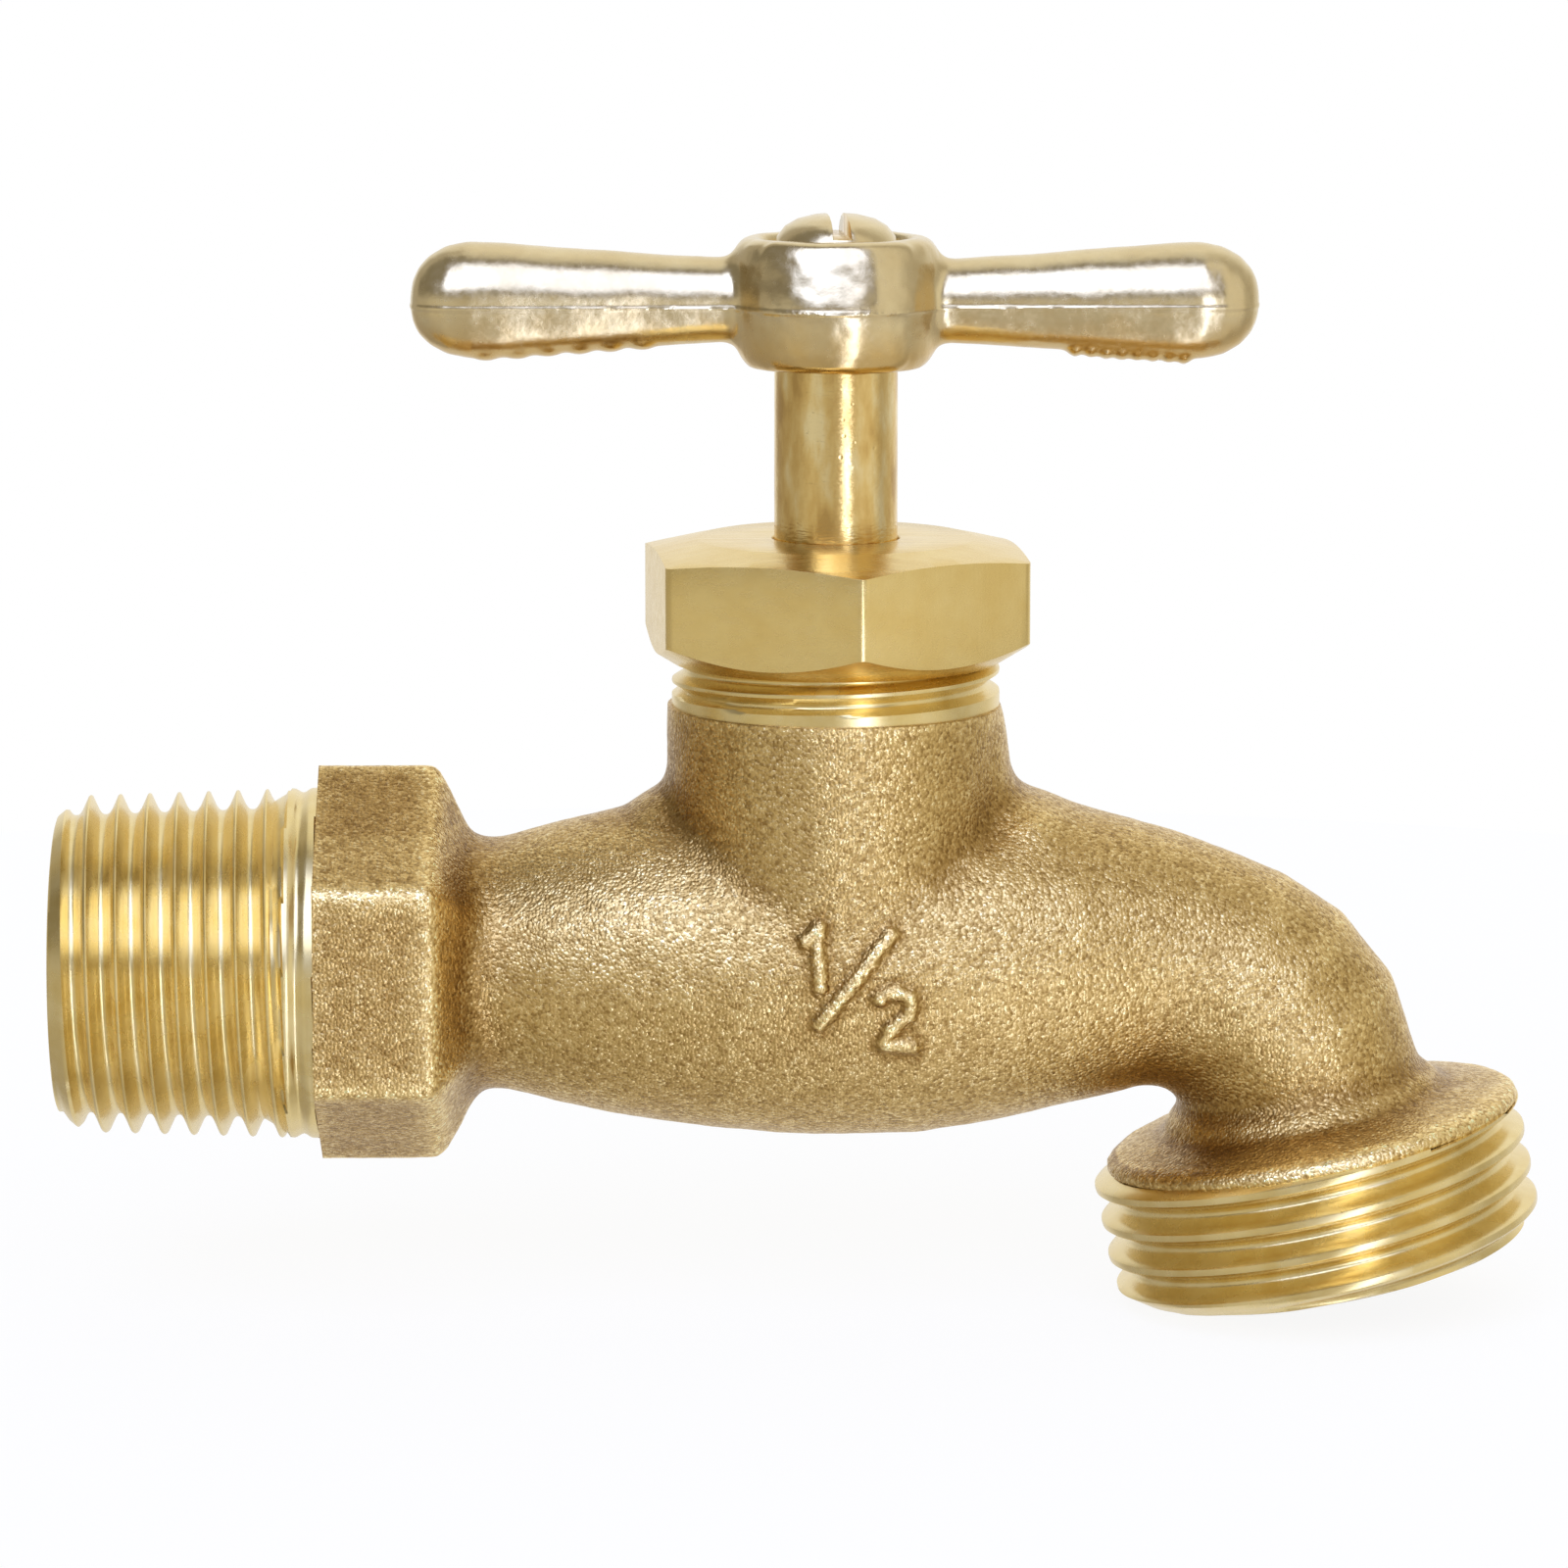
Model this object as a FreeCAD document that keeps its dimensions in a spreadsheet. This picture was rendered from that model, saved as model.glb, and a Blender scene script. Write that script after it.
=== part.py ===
import FreeCAD
import Part
import math
import os
import Sketcher
from FreeCAD import Placement, Rotation, Vector

# Hose bibb: a brass outdoor tap with a tee handle, millimetres throughout.
# The origin is the centre of the inlet's end face, +X runs along the inlet pipe
# towards the spout, +Z runs up along the stem, and the front of the tap faces -Y.

NODES = "parts"

SIZES = {
    # Male tapered pipe thread of the inlet, 1/2 inch, 14 threads to the inch.
    "pipe_major": 20.72,
    "pipe_pitch": 1.8143,
    "pipe_length": 14.6,
    "pipe_slope": 1.79,
    "pipe_cut": 1.25,
    "pipe_crest": 0.2,
    "pipe_first": 0.27,
    "pipe_chamfer": 1.2,
    "land_length": 1.6,
    "land_drop": 0.05,
    "inlet_bore": 13.0,
    # Cast hexagon behind the pipe thread.
    "hex_flats": 21.3,
    "hex_length": 7.8,
    "hex_bevel": 0.8,
    # Cast run: the waist behind the hexagon, the globe under the stem and the spout.
    "waist_length": 3.3,
    "waist_radius": 7.87,
    "stem_at": 48.03,
    "globe_radius": 11.05,
    "globe_lift": 0.1,
    "spout_at": 65.9,
    "spout_radius": 8.68,
    "spout_lift": 0.45,
    "bend_radius": 11.1,
    "bend_end_radius": 7.6,
    "wall": 2.1,
    # Outlet: cast flange and male hose thread, 3/4 inch, 11.5 threads to the inch.
    "outlet_tilt": 11.39,
    "outlet_length": 10.83,
    "hose_major": 26.92,
    "hose_pitch": 2.2087,
    "hose_length": 8.9,
    "hose_cut": 1.35,
    "hose_crest": 0.36,
    "hose_first": 0.82,
    "hose_chamfer": 1.3,
    "hose_end_radius": 11.33,
    "hose_stop": 0.88,
    "flange_radius": 12.9,
    "flange_draft": 0.3,
    "flange_rim": 0.7,
    "flange_rise": 1.5,
    "flange_offset": 0.5,
    "mouth_radius": 8.4,
    "mouth_depth": 6.5,
    # Neck that holds the stem, with its outer thread for the packing nut.
    "neck_radius": 10.42,
    "neck_rim": 16.16,
    "neck_fillet": 2.2,
    "collar_radius": 10.05,
    "collar_height": 4.84,
    "neck_pitch": 1.41,
    "neck_lead": 0.82,
    "neck_cut": 0.7,
    "neck_crest": 0.2,
    # Rooms of the waterway on either side of the seat, and the bridge that carries the seat.
    "chamber_radius": 8.3,
    "bridge_top": -0.2,
    "bridge_thickness": 2.3,
    "seat_hole": 4.8,
    "seat_ring": 6.0,
    "seat_height": 0.8,
    "floor_thickness": 2.4,
    "well_margin": 1.2,
    "well_cone": 2.2,
    "well_taper": 2.0,
    "channel_floor": 3.2,
    "channel_drop": 0.2,
    "channel_overlap": 3.5,
    "throat_width": 9.4,
    "throat_sill": 0.2,
    "throat_top": 6.2,
    "throat_length": 1.5,
    # Stem, with the coarse thread that lifts it.
    "lift_pitch": 2.54,
    "lift_major": 7.8,
    "lift_cut": 1.0,
    "lift_ridge": 1.0,
    "lift_flank": 15.0,
    "lift_length": 5.4,
    "lift_start": 9.0,
    "guide_bottom": 8.2,
    "thread_clearance": 0.15,
    "shank_radius": 3.78,
    "running_fit": 0.08,
    "disc_radius": 6.5,
    "disc_thickness": 1.8,
    "cup_depth": 1.8,
    "cup_wall": 0.6,
    "stem_waist": 4.4,
    "square_flats": 5.3,
    "square_height": 5.2,
    # Washer that closes on the seat, and its screw.
    "washer_thickness": 3.0,
    "screw_shank": 1.7,
    "screw_head": 3.3,
    "screw_head_height": 1.5,
    "screw_length": 8.0,
    "fit": 0.05,
    "screw_slot": 0.9,
    "screw_slot_depth": 0.7,
    # Packing nut and what it squeezes.
    "nut_wall": 1.1,
    "nut_turn": 5.9,
    "nut_gap": 2.74,
    "nut_rise": 5.45,
    "nut_roof": 1.9,
    "nut_top_edge": 3.35,
    "nut_foot_ring": 0.47,
    "nut_corner_drop": 0.55,
    "nut_corner_rise": 1.9,
    "nut_play": 0.08,
    "gland_thickness": 1.2,
    "gland_play": 0.75,
    "packing_play": 2.15,
    # Tee handle and its screw.
    "shank_show": 10.5,
    "hub_height": 7.95,
    "hub_radius": 6.25,
    "hub_round": 0.8,
    "dish_radius": 4.5,
    "dish_depth": 1.0,
    "arm_reach": 25.9,
    "arm_height": 4.05,
    "arm_root_half_height": 2.45,
    "arm_root_half_depth": 2.3,
    "arm_tip_half_height": 3.6,
    "arm_tip_half_depth": 3.0,
    "arm_nose": 3.3,
    "cap_radius": 3.7,
    "cap_height": 2.4,
    "cap_dome": 0.7,
    "cap_shank": 1.9,
    "cap_length": 9.0,
    "cap_clearance": 0.3,
    "cap_slot": 1.15,
    "cap_slot_depth": 1.3,
    # Common to the pieces: the flank angle of the plain threads, the flat at the root of
    # a groove, and how far a cut runs past the metal that it cuts.
    "flank": 30.0,
    "root_flat": 0.06,
    "skim": 0.1,
    "run_over": 1.0,
}

document = FreeCAD.newDocument("hose_bibb")
sheet = document.addObject("Spreadsheet::Sheet", "dim")
for row, (alias, size) in enumerate(SIZES.items(), start=1):
    sheet.set("A%d" % row, alias)
    sheet.set("B%d" % row, str(size))
    sheet.setAlias("B%d" % row, alias)
document.recompute()


def number(expression):
    """The present value of an expression in the sheet's sizes."""
    result = sheet.evalExpression(expression)
    return result.Value if hasattr(result, "Value") else float(result)


def new_body(name):
    body = document.addObject("PartDesign::Body", name)
    body.Label = name
    return body


def origin_plane(body, role):
    return next(feature for feature in body.Origin.OriginFeatures if feature.Role == role)


def new_sketch(body, name, role, shift=("0", "0", "0"), turn="0", turn_axis=Vector(0, 0, 1)):
    """A sketch on one of the body's own origin planes, shifted and turned in that plane's frame."""
    sketch = body.newObject("Sketcher::SketchObject", name)
    sketch.AttachmentSupport = (origin_plane(body, role), [""])
    sketch.MapMode = "FlatFace"
    base = Vector(*[number(text) for text in shift])
    sketch.AttachmentOffset = Placement(base, Rotation(turn_axis, number(turn)))
    for axis_name, text in zip("xyz", shift):
        if text != "0":
            sketch.setExpression(".AttachmentOffset.Base." + axis_name, text)
    if turn != "0":
        sketch.setExpression(".AttachmentOffset.Rotation.Angle", turn)
    return sketch


def pin_point(sketch, geometry, point, across, up):
    """Ties one point of a sketch to two expressions, its distances from the sketch's axes."""
    for kind, text in (("DistanceX", across), ("DistanceY", up)):
        index = sketch.addConstraint(Sketcher.Constraint(kind, -1, 1, geometry, point, number(text)))
        sketch.setExpression("Constraints[%d]" % index, text)


def draw_outline(sketch, corners):
    """A closed outline of straight lines through corners given as pairs of expressions."""
    places = [Vector(number(across), number(up), 0) for across, up in corners]
    count = len(corners)
    for index in range(count):
        sketch.addGeometry(Part.LineSegment(places[index], places[(index + 1) % count]), False)
    for index in range(count):
        following = (index + 1) % count
        sketch.addConstraint(Sketcher.Constraint("Coincident", index, 2, following, 1))
    for index, (across, up) in enumerate(corners):
        pin_point(sketch, index, 1, across, up)


def draw_circle(sketch, across, up, radius):
    centre = Vector(number(across), number(up), 0)
    sketch.addGeometry(Part.Circle(centre, Vector(0, 0, 1), number(radius)), False)
    pin_point(sketch, 0, 3, across, up)
    index = sketch.addConstraint(Sketcher.Constraint("Radius", 0, number(radius)))
    sketch.setExpression("Constraints[%d]" % index, radius)


def revolve(body, kind, name, sketch):
    """A full turn of the sketch about its own upright axis."""
    feature = body.newObject(kind, name)
    feature.Profile = sketch
    feature.ReferenceAxis = (sketch, ["V_Axis"])
    feature.Angle = 360
    document.recompute()
    return feature


def helix(body, kind, name, sketch, pitch, height):
    """A right-hand thread: the sketch carried round and along its own upright axis."""
    feature = body.newObject(kind, name)
    feature.Profile = sketch
    feature.ReferenceAxis = (sketch, ["V_Axis"])
    feature.Mode = "pitch-height-angle"
    feature.setExpression("Pitch", pitch)
    feature.setExpression("Height", height)
    feature.LeftHanded = False
    document.recompute()
    return feature


def groove_outline(radius, cut, pitch, crest, start):
    """Corners of a thread groove, cut inwards from a radius, centred at a height."""
    mouth = "((%s - %s) / 2 + dim.skim * tan(dim.flank * 1 deg))" % (pitch, crest)
    root = "max(dim.root_flat; (%s - %s) / 2 - %s * tan(dim.flank * 1 deg))" % (pitch, crest, cut)
    return [
        ("%s - %s" % (radius, cut), "%s - %s" % (start, root)),
        ("%s + dim.skim" % radius, "%s - %s" % (start, mouth)),
        ("%s + dim.skim" % radius, "%s + %s" % (start, mouth)),
        ("%s - %s" % (radius, cut), "%s + %s" % (start, root)),
    ]


def helix_phase(first, pitch):
    """Where a groove starts so that it passes the first groove's height two turns up."""
    return "%s - 2 * %s" % (first, pitch)


def wedge_outline(inner, outer, half_inner, half_outer, centre):
    """Corners of a thread form between two radii, with its half width at each."""
    return [
        (inner, "%s - (%s)" % (centre, half_inner)),
        (outer, "%s - (%s)" % (centre, half_outer)),
        (outer, "%s + (%s)" % (centre, half_outer)),
        (inner, "%s + (%s)" % (centre, half_inner)),
    ]


HEX_START = "(dim.pipe_length + dim.land_length)"
HEX_END = "(%s + dim.hex_length)" % HEX_START
WAIST_END = "(%s + dim.waist_length)" % HEX_END
BEND_TURN = "(90 - dim.outlet_tilt)"
BEND_CENTRE_UP = "(dim.spout_lift - dim.bend_radius)"
BEND_END_X = "(dim.spout_at + dim.bend_radius * cos(dim.outlet_tilt * 1 deg))"
BEND_END_Z = "(%s + dim.bend_radius * sin(dim.outlet_tilt * 1 deg))" % BEND_CENTRE_UP
OUTLET_X = "(%s + dim.outlet_length * sin(dim.outlet_tilt * 1 deg))" % BEND_END_X
OUTLET_Z = "(%s - dim.outlet_length * cos(dim.outlet_tilt * 1 deg))" % BEND_END_Z
PASSAGE = "(dim.bend_end_radius - dim.wall)"
BRIDGE_BOTTOM = "(dim.bridge_top - dim.bridge_thickness)"
SEAT = "(dim.bridge_top + dim.seat_height)"
LIFT_MINOR = "(dim.lift_major - dim.lift_cut)"
GUIDE_BORE = "(%s + dim.thread_clearance)" % LIFT_MINOR
DISC = "(%s + dim.washer_thickness)" % SEAT
WASHER_RADIUS = "(dim.disc_radius - dim.cup_wall - dim.fit)"
NECK_TOP = "(dim.neck_rim + dim.collar_height)"
NECK_FIRST = "(dim.neck_rim + dim.neck_lead)"
COLLAR_MINOR = "(dim.collar_radius - dim.neck_cut)"
GLAND_TOP = "(%s + dim.gland_thickness)" % NECK_TOP
NUT_BOTTOM = "(dim.neck_rim + dim.nut_gap)"
NUT_TOP = "(%s + dim.nut_rise)" % NECK_TOP
NUT_CEILING = "(%s - dim.nut_roof)" % NUT_TOP
NUT_FLATS = "(2 * (dim.collar_radius + dim.nut_wall))"
PACKING_RADIUS = "(%s - dim.packing_play)" % COLLAR_MINOR
STEM_BORE = "(dim.shank_radius + dim.running_fit)"
HUB_BOTTOM = "(%s + dim.shank_show)" % NUT_TOP
HUB_TOP = "(%s + dim.hub_height)" % HUB_BOTTOM
CAP_SEAT = "(%s - dim.dish_depth)" % HUB_TOP


def tilted(body, name, offset="0"):
    """A sketch whose upright axis runs up the outlet from its open end."""
    across = "%s + %s * cos(dim.outlet_tilt * 1 deg)" % (OUTLET_X, offset)
    up = "%s + %s * sin(dim.outlet_tilt * 1 deg)" % (OUTLET_Z, offset)
    return new_sketch(body, name, "XZ_Plane", shift=(across, up, "0"), turn="dim.outlet_tilt")


def run_station(body, index, along, lift, radius, turn="0"):
    """One round section of the cast run, square to the run."""
    name = "run_section_%d" % index
    shift = ("0", lift, along)
    sketch = new_sketch(body, name, "YZ_Plane", shift=shift, turn=turn, turn_axis=Vector(1, 0, 0))
    draw_circle(sketch, "0", "0", radius)
    return sketch


def add_run(body):
    """The waist, the globe and the bend: a loft that swells under the stem and turns down."""
    stations = []
    rise = "(dim.globe_radius - dim.waist_radius)"
    for share in (0, 0.25, 0.5, 0.75):
        along = "%s + %g * (dim.stem_at - %s)" % (WAIST_END, share, WAIST_END)
        radius = "dim.globe_radius - %s * (1 - %g) ^ 2" % (rise, share)
        stations.append((along, "dim.globe_lift * %g" % share, radius, "0"))
    fall = "(dim.globe_radius - dim.spout_radius)"
    for share in (0, 1 / 3, 2 / 3, 1):
        along = "dim.stem_at + %g * (dim.spout_at - dim.stem_at)" % share
        lift = "dim.globe_lift + (dim.spout_lift - dim.globe_lift) * %g" % share
        stations.append((along, lift, "dim.globe_radius - %s * %g ^ 2" % (fall, share), "0"))
    for share in (0.125, 0.25, 0.5, 0.75, 1):
        turn = "%s * %g" % (BEND_TURN, share)
        along = "dim.spout_at + dim.bend_radius * sin(%s * 1 deg)" % turn
        lift = "%s + dim.bend_radius * cos(%s * 1 deg)" % (BEND_CENTRE_UP, turn)
        shrink = "(dim.spout_radius - dim.bend_end_radius)"
        radius = "dim.bend_end_radius + %s * %g ^ 4" % (shrink, 1 - share)
        stations.append((along, lift, radius, turn))
    sections = [run_station(body, index, *station) for index, station in enumerate(stations)]
    loft = body.newObject("PartDesign::AdditiveLoft", "run")
    loft.Profile = sections[0]
    loft.Sections = sections[1:]
    document.recompute()


def hexagon_corners(flats):
    """Corners of a hexagon that has one straight up, from the distance between its flats."""
    half = "%s / 2" % flats
    corner = "%s / sqrt(3)" % flats
    return [
        ("0", corner), ("-" + half, corner + " / 2"), ("-" + half, "-%s / 2" % corner),
        ("0", "-" + corner), (half, "-%s / 2" % corner), (half, corner + " / 2"),
    ]


def add_hexagon(body):
    """The cast hexagon, a corner up and a corner down, and the plain waist behind it."""
    sketch = new_sketch(body, "hex_outline", "YZ_Plane", shift=("0", "0", HEX_START))
    draw_outline(sketch, hexagon_corners("dim.hex_flats"))
    pad = body.newObject("PartDesign::Pad", "hexagon")
    pad.Profile = sketch
    pad.setExpression("Length", "dim.hex_length")
    document.recompute()
    bevel = new_sketch(body, "hex_bevel", "XZ_Plane", turn="-90")
    corner = "dim.hex_flats / sqrt(3)"
    outside = "%s + dim.run_over" % corner
    draw_outline(bevel, [
        ("dim.hex_flats / 2", "%s - dim.run_over" % HEX_START),
        ("dim.hex_flats / 2", HEX_START),
        (corner, "%s + dim.hex_bevel" % HEX_START),
        (outside, "%s + dim.hex_bevel" % HEX_START),
        (outside, "%s - dim.run_over" % HEX_START),
    ])
    revolve(body, "PartDesign::Groove", "hexagon_bevel", bevel)
    waist_start = "%s - dim.run_over" % HEX_END
    waist = new_sketch(body, "waist_outline", "YZ_Plane", shift=("0", "0", waist_start))
    draw_circle(waist, "0", "0", "dim.waist_radius")
    pad = body.newObject("PartDesign::Pad", "waist")
    pad.Profile = waist
    pad.setExpression("Length", "dim.waist_length + dim.run_over")
    document.recompute()


def add_neck(body):
    """The upright neck: cast up to its rim, turned above it."""
    sketch = new_sketch(body, "neck_outline", "XZ_Plane", shift=("dim.stem_at", "0", "0"))
    draw_outline(sketch, [
        ("0", "0"), ("dim.neck_radius", "0"), ("dim.neck_radius", "dim.neck_rim"),
        ("dim.collar_radius", "dim.neck_rim"), ("dim.collar_radius", "%s - dim.neck_cut" % NECK_TOP),
        (COLLAR_MINOR, NECK_TOP), ("0", NECK_TOP),
    ])
    revolve(body, "PartDesign::Revolution", "neck", sketch)


def round_neck_root(body):
    """The cast fillet where the neck rises out of the globe."""
    cast = body.Tip
    axis = Vector(number("dim.stem_at"), 0, 0)
    radius = number("dim.neck_radius")
    names = []
    for index, edge in enumerate(cast.Shape.Edges, start=1):
        points = edge.discretize(9)
        off_neck = [abs(Vector(point.x - axis.x, point.y, 0).Length - radius) for point in points]
        heights = [point.z for point in points]
        below_rim = max(heights) < number("dim.neck_rim - dim.run_over")
        if max(off_neck) < 0.01 and min(heights) > number("dim.skim") and below_rim:
            names.append("Edge%d" % index)
    fillet = body.newObject("PartDesign::Fillet", "neck_root")
    fillet.Base = (cast, names)
    fillet.setExpression("Radius", "dim.neck_fillet")
    document.recompute()


def add_outlet(body):
    """The cast flange and the blank of the hose thread below it, both on the outlet's tilted axis."""
    flange = tilted(body, "flange_outline", "dim.flange_offset")
    rim = "(dim.hose_length + dim.flange_rim)"
    foot = "(dim.flange_radius - dim.flange_draft)"
    inside = "dim.hose_length - dim.run_over"
    draw_outline(flange, [
        ("0", inside), ("%s - dim.run_over" % foot, inside),
        (foot, "dim.hose_length"), ("dim.flange_radius", rim),
        ("dim.bend_end_radius", "%s + dim.flange_rise" % rim), ("0", "%s + dim.flange_rise" % rim),
    ])
    revolve(body, "PartDesign::Revolution", "flange", flange)
    blank = tilted(body, "hose_outline")
    draw_outline(blank, [
        ("0", "0"), ("dim.hose_end_radius", "0"), ("dim.hose_major / 2", "dim.hose_chamfer"),
        ("dim.hose_major / 2", "dim.hose_length"), ("dim.bend_end_radius", "dim.hose_length"),
        ("dim.bend_end_radius", "dim.outlet_length"), ("0", "dim.outlet_length"),
    ])
    revolve(body, "PartDesign::Revolution", "hose_blank", blank)


def cut_waterway(body):
    """Inlet bore, chamber under the seat, seat hole, chamber over it, and the way down the spout."""
    inlet = new_sketch(body, "inlet_bore", "XZ_Plane", turn="-90")
    deep = "(dim.stem_at - dim.chamber_radius - dim.wall)"
    draw_outline(inlet, [
        ("0", "0"), ("dim.inlet_bore / 2", "0"), ("dim.inlet_bore / 2", deep), ("0", deep),
    ])
    revolve(body, "PartDesign::Groove", "inlet_way", inlet)
    lower = new_sketch(body, "lower_chamber", "XZ_Plane", shift=("dim.stem_at", "0", "0"))
    floor = "(dim.floor_thickness - dim.globe_radius)"
    well = "(dim.seat_hole + dim.well_margin)"
    draw_outline(lower, [
        ("0", floor), ("%s - dim.well_taper" % well, floor), (well, "%s + dim.well_cone" % floor),
        (well, BRIDGE_BOTTOM), ("0", BRIDGE_BOTTOM),
    ])
    revolve(body, "PartDesign::Groove", "lower_way", lower)
    channel = new_sketch(body, "channel", "YZ_Plane", shift=("0", "0", "dim.stem_at"))
    channel_radius = "((dim.globe_radius - dim.channel_floor + %s) / 2)" % BRIDGE_BOTTOM
    channel_centre = "%s - %s - dim.channel_drop" % (BRIDGE_BOTTOM, channel_radius)
    draw_circle(channel, "0", channel_centre, channel_radius)
    pocket = body.newObject("PartDesign::Pocket", "channel_way")
    pocket.Profile = channel
    pocket.setExpression("Length", "dim.chamber_radius + dim.wall + dim.channel_overlap")
    document.recompute()
    upper = new_sketch(body, "upper_chamber", "XZ_Plane", shift=("dim.stem_at", "0", "0"))
    under = "%s - dim.run_over" % BRIDGE_BOTTOM
    above = "%s + dim.run_over" % NECK_TOP
    draw_outline(upper, [
        ("0", under), ("dim.seat_hole", under), ("dim.seat_hole", SEAT), ("dim.seat_ring", SEAT),
        ("dim.seat_ring", "dim.bridge_top"), ("dim.chamber_radius", "dim.bridge_top"),
        ("dim.chamber_radius", "dim.guide_bottom"), (GUIDE_BORE, "dim.guide_bottom"),
        (GUIDE_BORE, above), ("0", above),
    ])
    revolve(body, "PartDesign::Groove", "upper_way", upper)
    throat = new_sketch(body, "throat", "YZ_Plane", shift=("0", "0", "dim.spout_at"))
    sill = "dim.bridge_top + dim.throat_sill"
    draw_outline(throat, [
        ("-dim.throat_width / 2", sill), ("dim.throat_width / 2", sill),
        ("dim.throat_width / 2", "dim.throat_top"), ("-dim.throat_width / 2", "dim.throat_top"),
    ])
    pocket = body.newObject("PartDesign::Pocket", "throat_way")
    pocket.Profile = throat
    pocket.setExpression("Length", "dim.spout_at - dim.stem_at")
    document.recompute()
    spine = new_sketch(body, "spout_spine", "XZ_Plane")
    throat_end = "dim.stem_at + dim.chamber_radius + dim.throat_length"
    start = Vector(number(throat_end), number("dim.spout_lift"), 0)
    bend = Vector(number("dim.spout_at"), number("dim.spout_lift"), 0)
    centre = Vector(number("dim.spout_at"), number(BEND_CENTRE_UP), 0)
    after = Vector(number(BEND_END_X), number(BEND_END_Z), 0)
    end = Vector(number(OUTLET_X), number(OUTLET_Z), 0)
    radius = number("dim.bend_radius")
    spine.addGeometry(Part.LineSegment(start, bend), False)
    arc = Part.ArcOfCircle(
        Part.Circle(centre, Vector(0, 0, 1), radius), math.radians(number("dim.outlet_tilt")), math.pi / 2
    )
    spine.addGeometry(arc, False)
    spine.addGeometry(Part.LineSegment(after, end), False)
    pin_point(spine, 0, 1, throat_end, "dim.spout_lift")
    spine.addConstraint(Sketcher.Constraint("Coincident", 0, 2, 1, 2))
    spine.addConstraint(Sketcher.Constraint("Coincident", 1, 1, 2, 1))
    pin_point(spine, 1, 3, "dim.spout_at", BEND_CENTRE_UP)
    pin_point(spine, 0, 2, "dim.spout_at", "dim.spout_lift")
    index = spine.addConstraint(Sketcher.Constraint("DistanceX", -1, 1, 1, 1, number(BEND_END_X)))
    spine.setExpression("Constraints[%d]" % index, BEND_END_X)
    pin_point(spine, 2, 2, OUTLET_X, OUTLET_Z)
    section = new_sketch(body, "spout_section", "YZ_Plane", shift=("0", "dim.spout_lift", throat_end))
    draw_circle(section, "0", "0", PASSAGE)
    document.recompute()
    pipe = body.newObject("PartDesign::SubtractivePipe", "spout_way")
    pipe.Profile = section
    pipe.Spine = (spine, ["Edge1", "Edge2", "Edge3"])
    document.recompute()
    mouth = tilted(body, "mouth")
    draw_outline(mouth, [
        ("0", "0"), ("dim.mouth_radius", "0"), ("dim.mouth_radius", "dim.mouth_depth"),
        (PASSAGE, "dim.mouth_depth + dim.mouth_radius - %s" % PASSAGE),
        ("0", "dim.mouth_depth + dim.mouth_radius - %s" % PASSAGE),
    ])
    revolve(body, "PartDesign::Groove", "mouth_way", mouth)


def cut_body_threads(body):
    """The hose thread, the neck's outer thread and the coarse thread that the stem climbs."""
    hose = tilted(body, "hose_groove")
    draw_outline(hose, groove_outline(
        "dim.hose_major / 2", "dim.hose_cut", "dim.hose_pitch", "dim.hose_crest",
        helix_phase("dim.hose_first", "dim.hose_pitch"),
    ))
    helix(body, "PartDesign::SubtractiveHelix", "hose_thread", hose, "dim.hose_pitch",
          "dim.hose_length - dim.hose_first + 2 * dim.hose_pitch - dim.hose_stop")
    neck = new_sketch(body, "neck_groove", "XZ_Plane", shift=("dim.stem_at", "0", "0"))
    draw_outline(neck, groove_outline(
        "dim.collar_radius", "dim.neck_cut", "dim.neck_pitch", "dim.neck_crest", NECK_FIRST,
    ))
    helix(body, "PartDesign::SubtractiveHelix", "neck_thread", neck, "dim.neck_pitch",
          "dim.collar_height - dim.neck_lead + dim.neck_pitch")
    lift = new_sketch(body, "guide_groove", "XZ_Plane", shift=("dim.stem_at", "0", "0"))
    outer = "(dim.lift_major + dim.thread_clearance)"
    inner = "(%s - dim.skim)" % GUIDE_BORE
    flank = "(dim.lift_major - %s) * tan(dim.lift_flank * 1 deg)"
    ridge = "(dim.lift_ridge / 2 + dim.thread_clearance + " + flank + ")"
    draw_outline(lift, wedge_outline(
        inner, outer, ridge % inner, ridge % outer, "dim.lift_start - 3 * dim.lift_pitch / 2",
    ))
    helix(body, "PartDesign::SubtractiveHelix", "guide_thread", lift, "dim.lift_pitch",
          "%s - dim.lift_start + 3 * dim.lift_pitch" % NECK_TOP)


def cut_pipe_thread(casting):
    """The tapered pipe thread, swept along a helix on the taper and cut from the casting."""
    start = "dim.pipe_first - 2 * dim.pipe_pitch"
    spiral = document.addObject("Part::Helix", "pipe_helix")
    spiral.SegmentLength = 1
    spiral.setExpression("Pitch", "dim.pipe_pitch")
    spiral.setExpression("Height", "dim.pipe_length - (%s)" % start)
    start_radius = "(dim.pipe_major / 2 + (%s) * tan(dim.pipe_slope * 1 deg))" % start
    spiral.setExpression("Radius", start_radius)
    spiral.setExpression("Angle", "dim.pipe_slope")
    spiral.Placement = Placement(Vector(number(start), 0, 0), Rotation(Vector(0, 1, 0), 90))
    spiral.setExpression(".Placement.Base.x", start)
    form = document.addObject("Sketcher::SketchObject", "pipe_groove")
    form.Placement = spiral.Placement * Placement(Vector(), Rotation(Vector(1, 0, 0), 90))
    form.setExpression(".Placement.Base.x", start)
    groove = groove_outline(start_radius, "dim.pipe_cut", "dim.pipe_pitch", "dim.pipe_crest", "0")
    draw_outline(form, groove)
    sweep = document.addObject("Part::Sweep", "pipe_sweep")
    sweep.Sections = [form]
    sweep.Spine = (spiral, [])
    sweep.Solid = True
    sweep.Frenet = True
    threaded = document.addObject("Part::Cut", "body")
    threaded.Label = "body"
    threaded.Base = casting
    threaded.Tool = sweep
    document.recompute()
    return threaded


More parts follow.
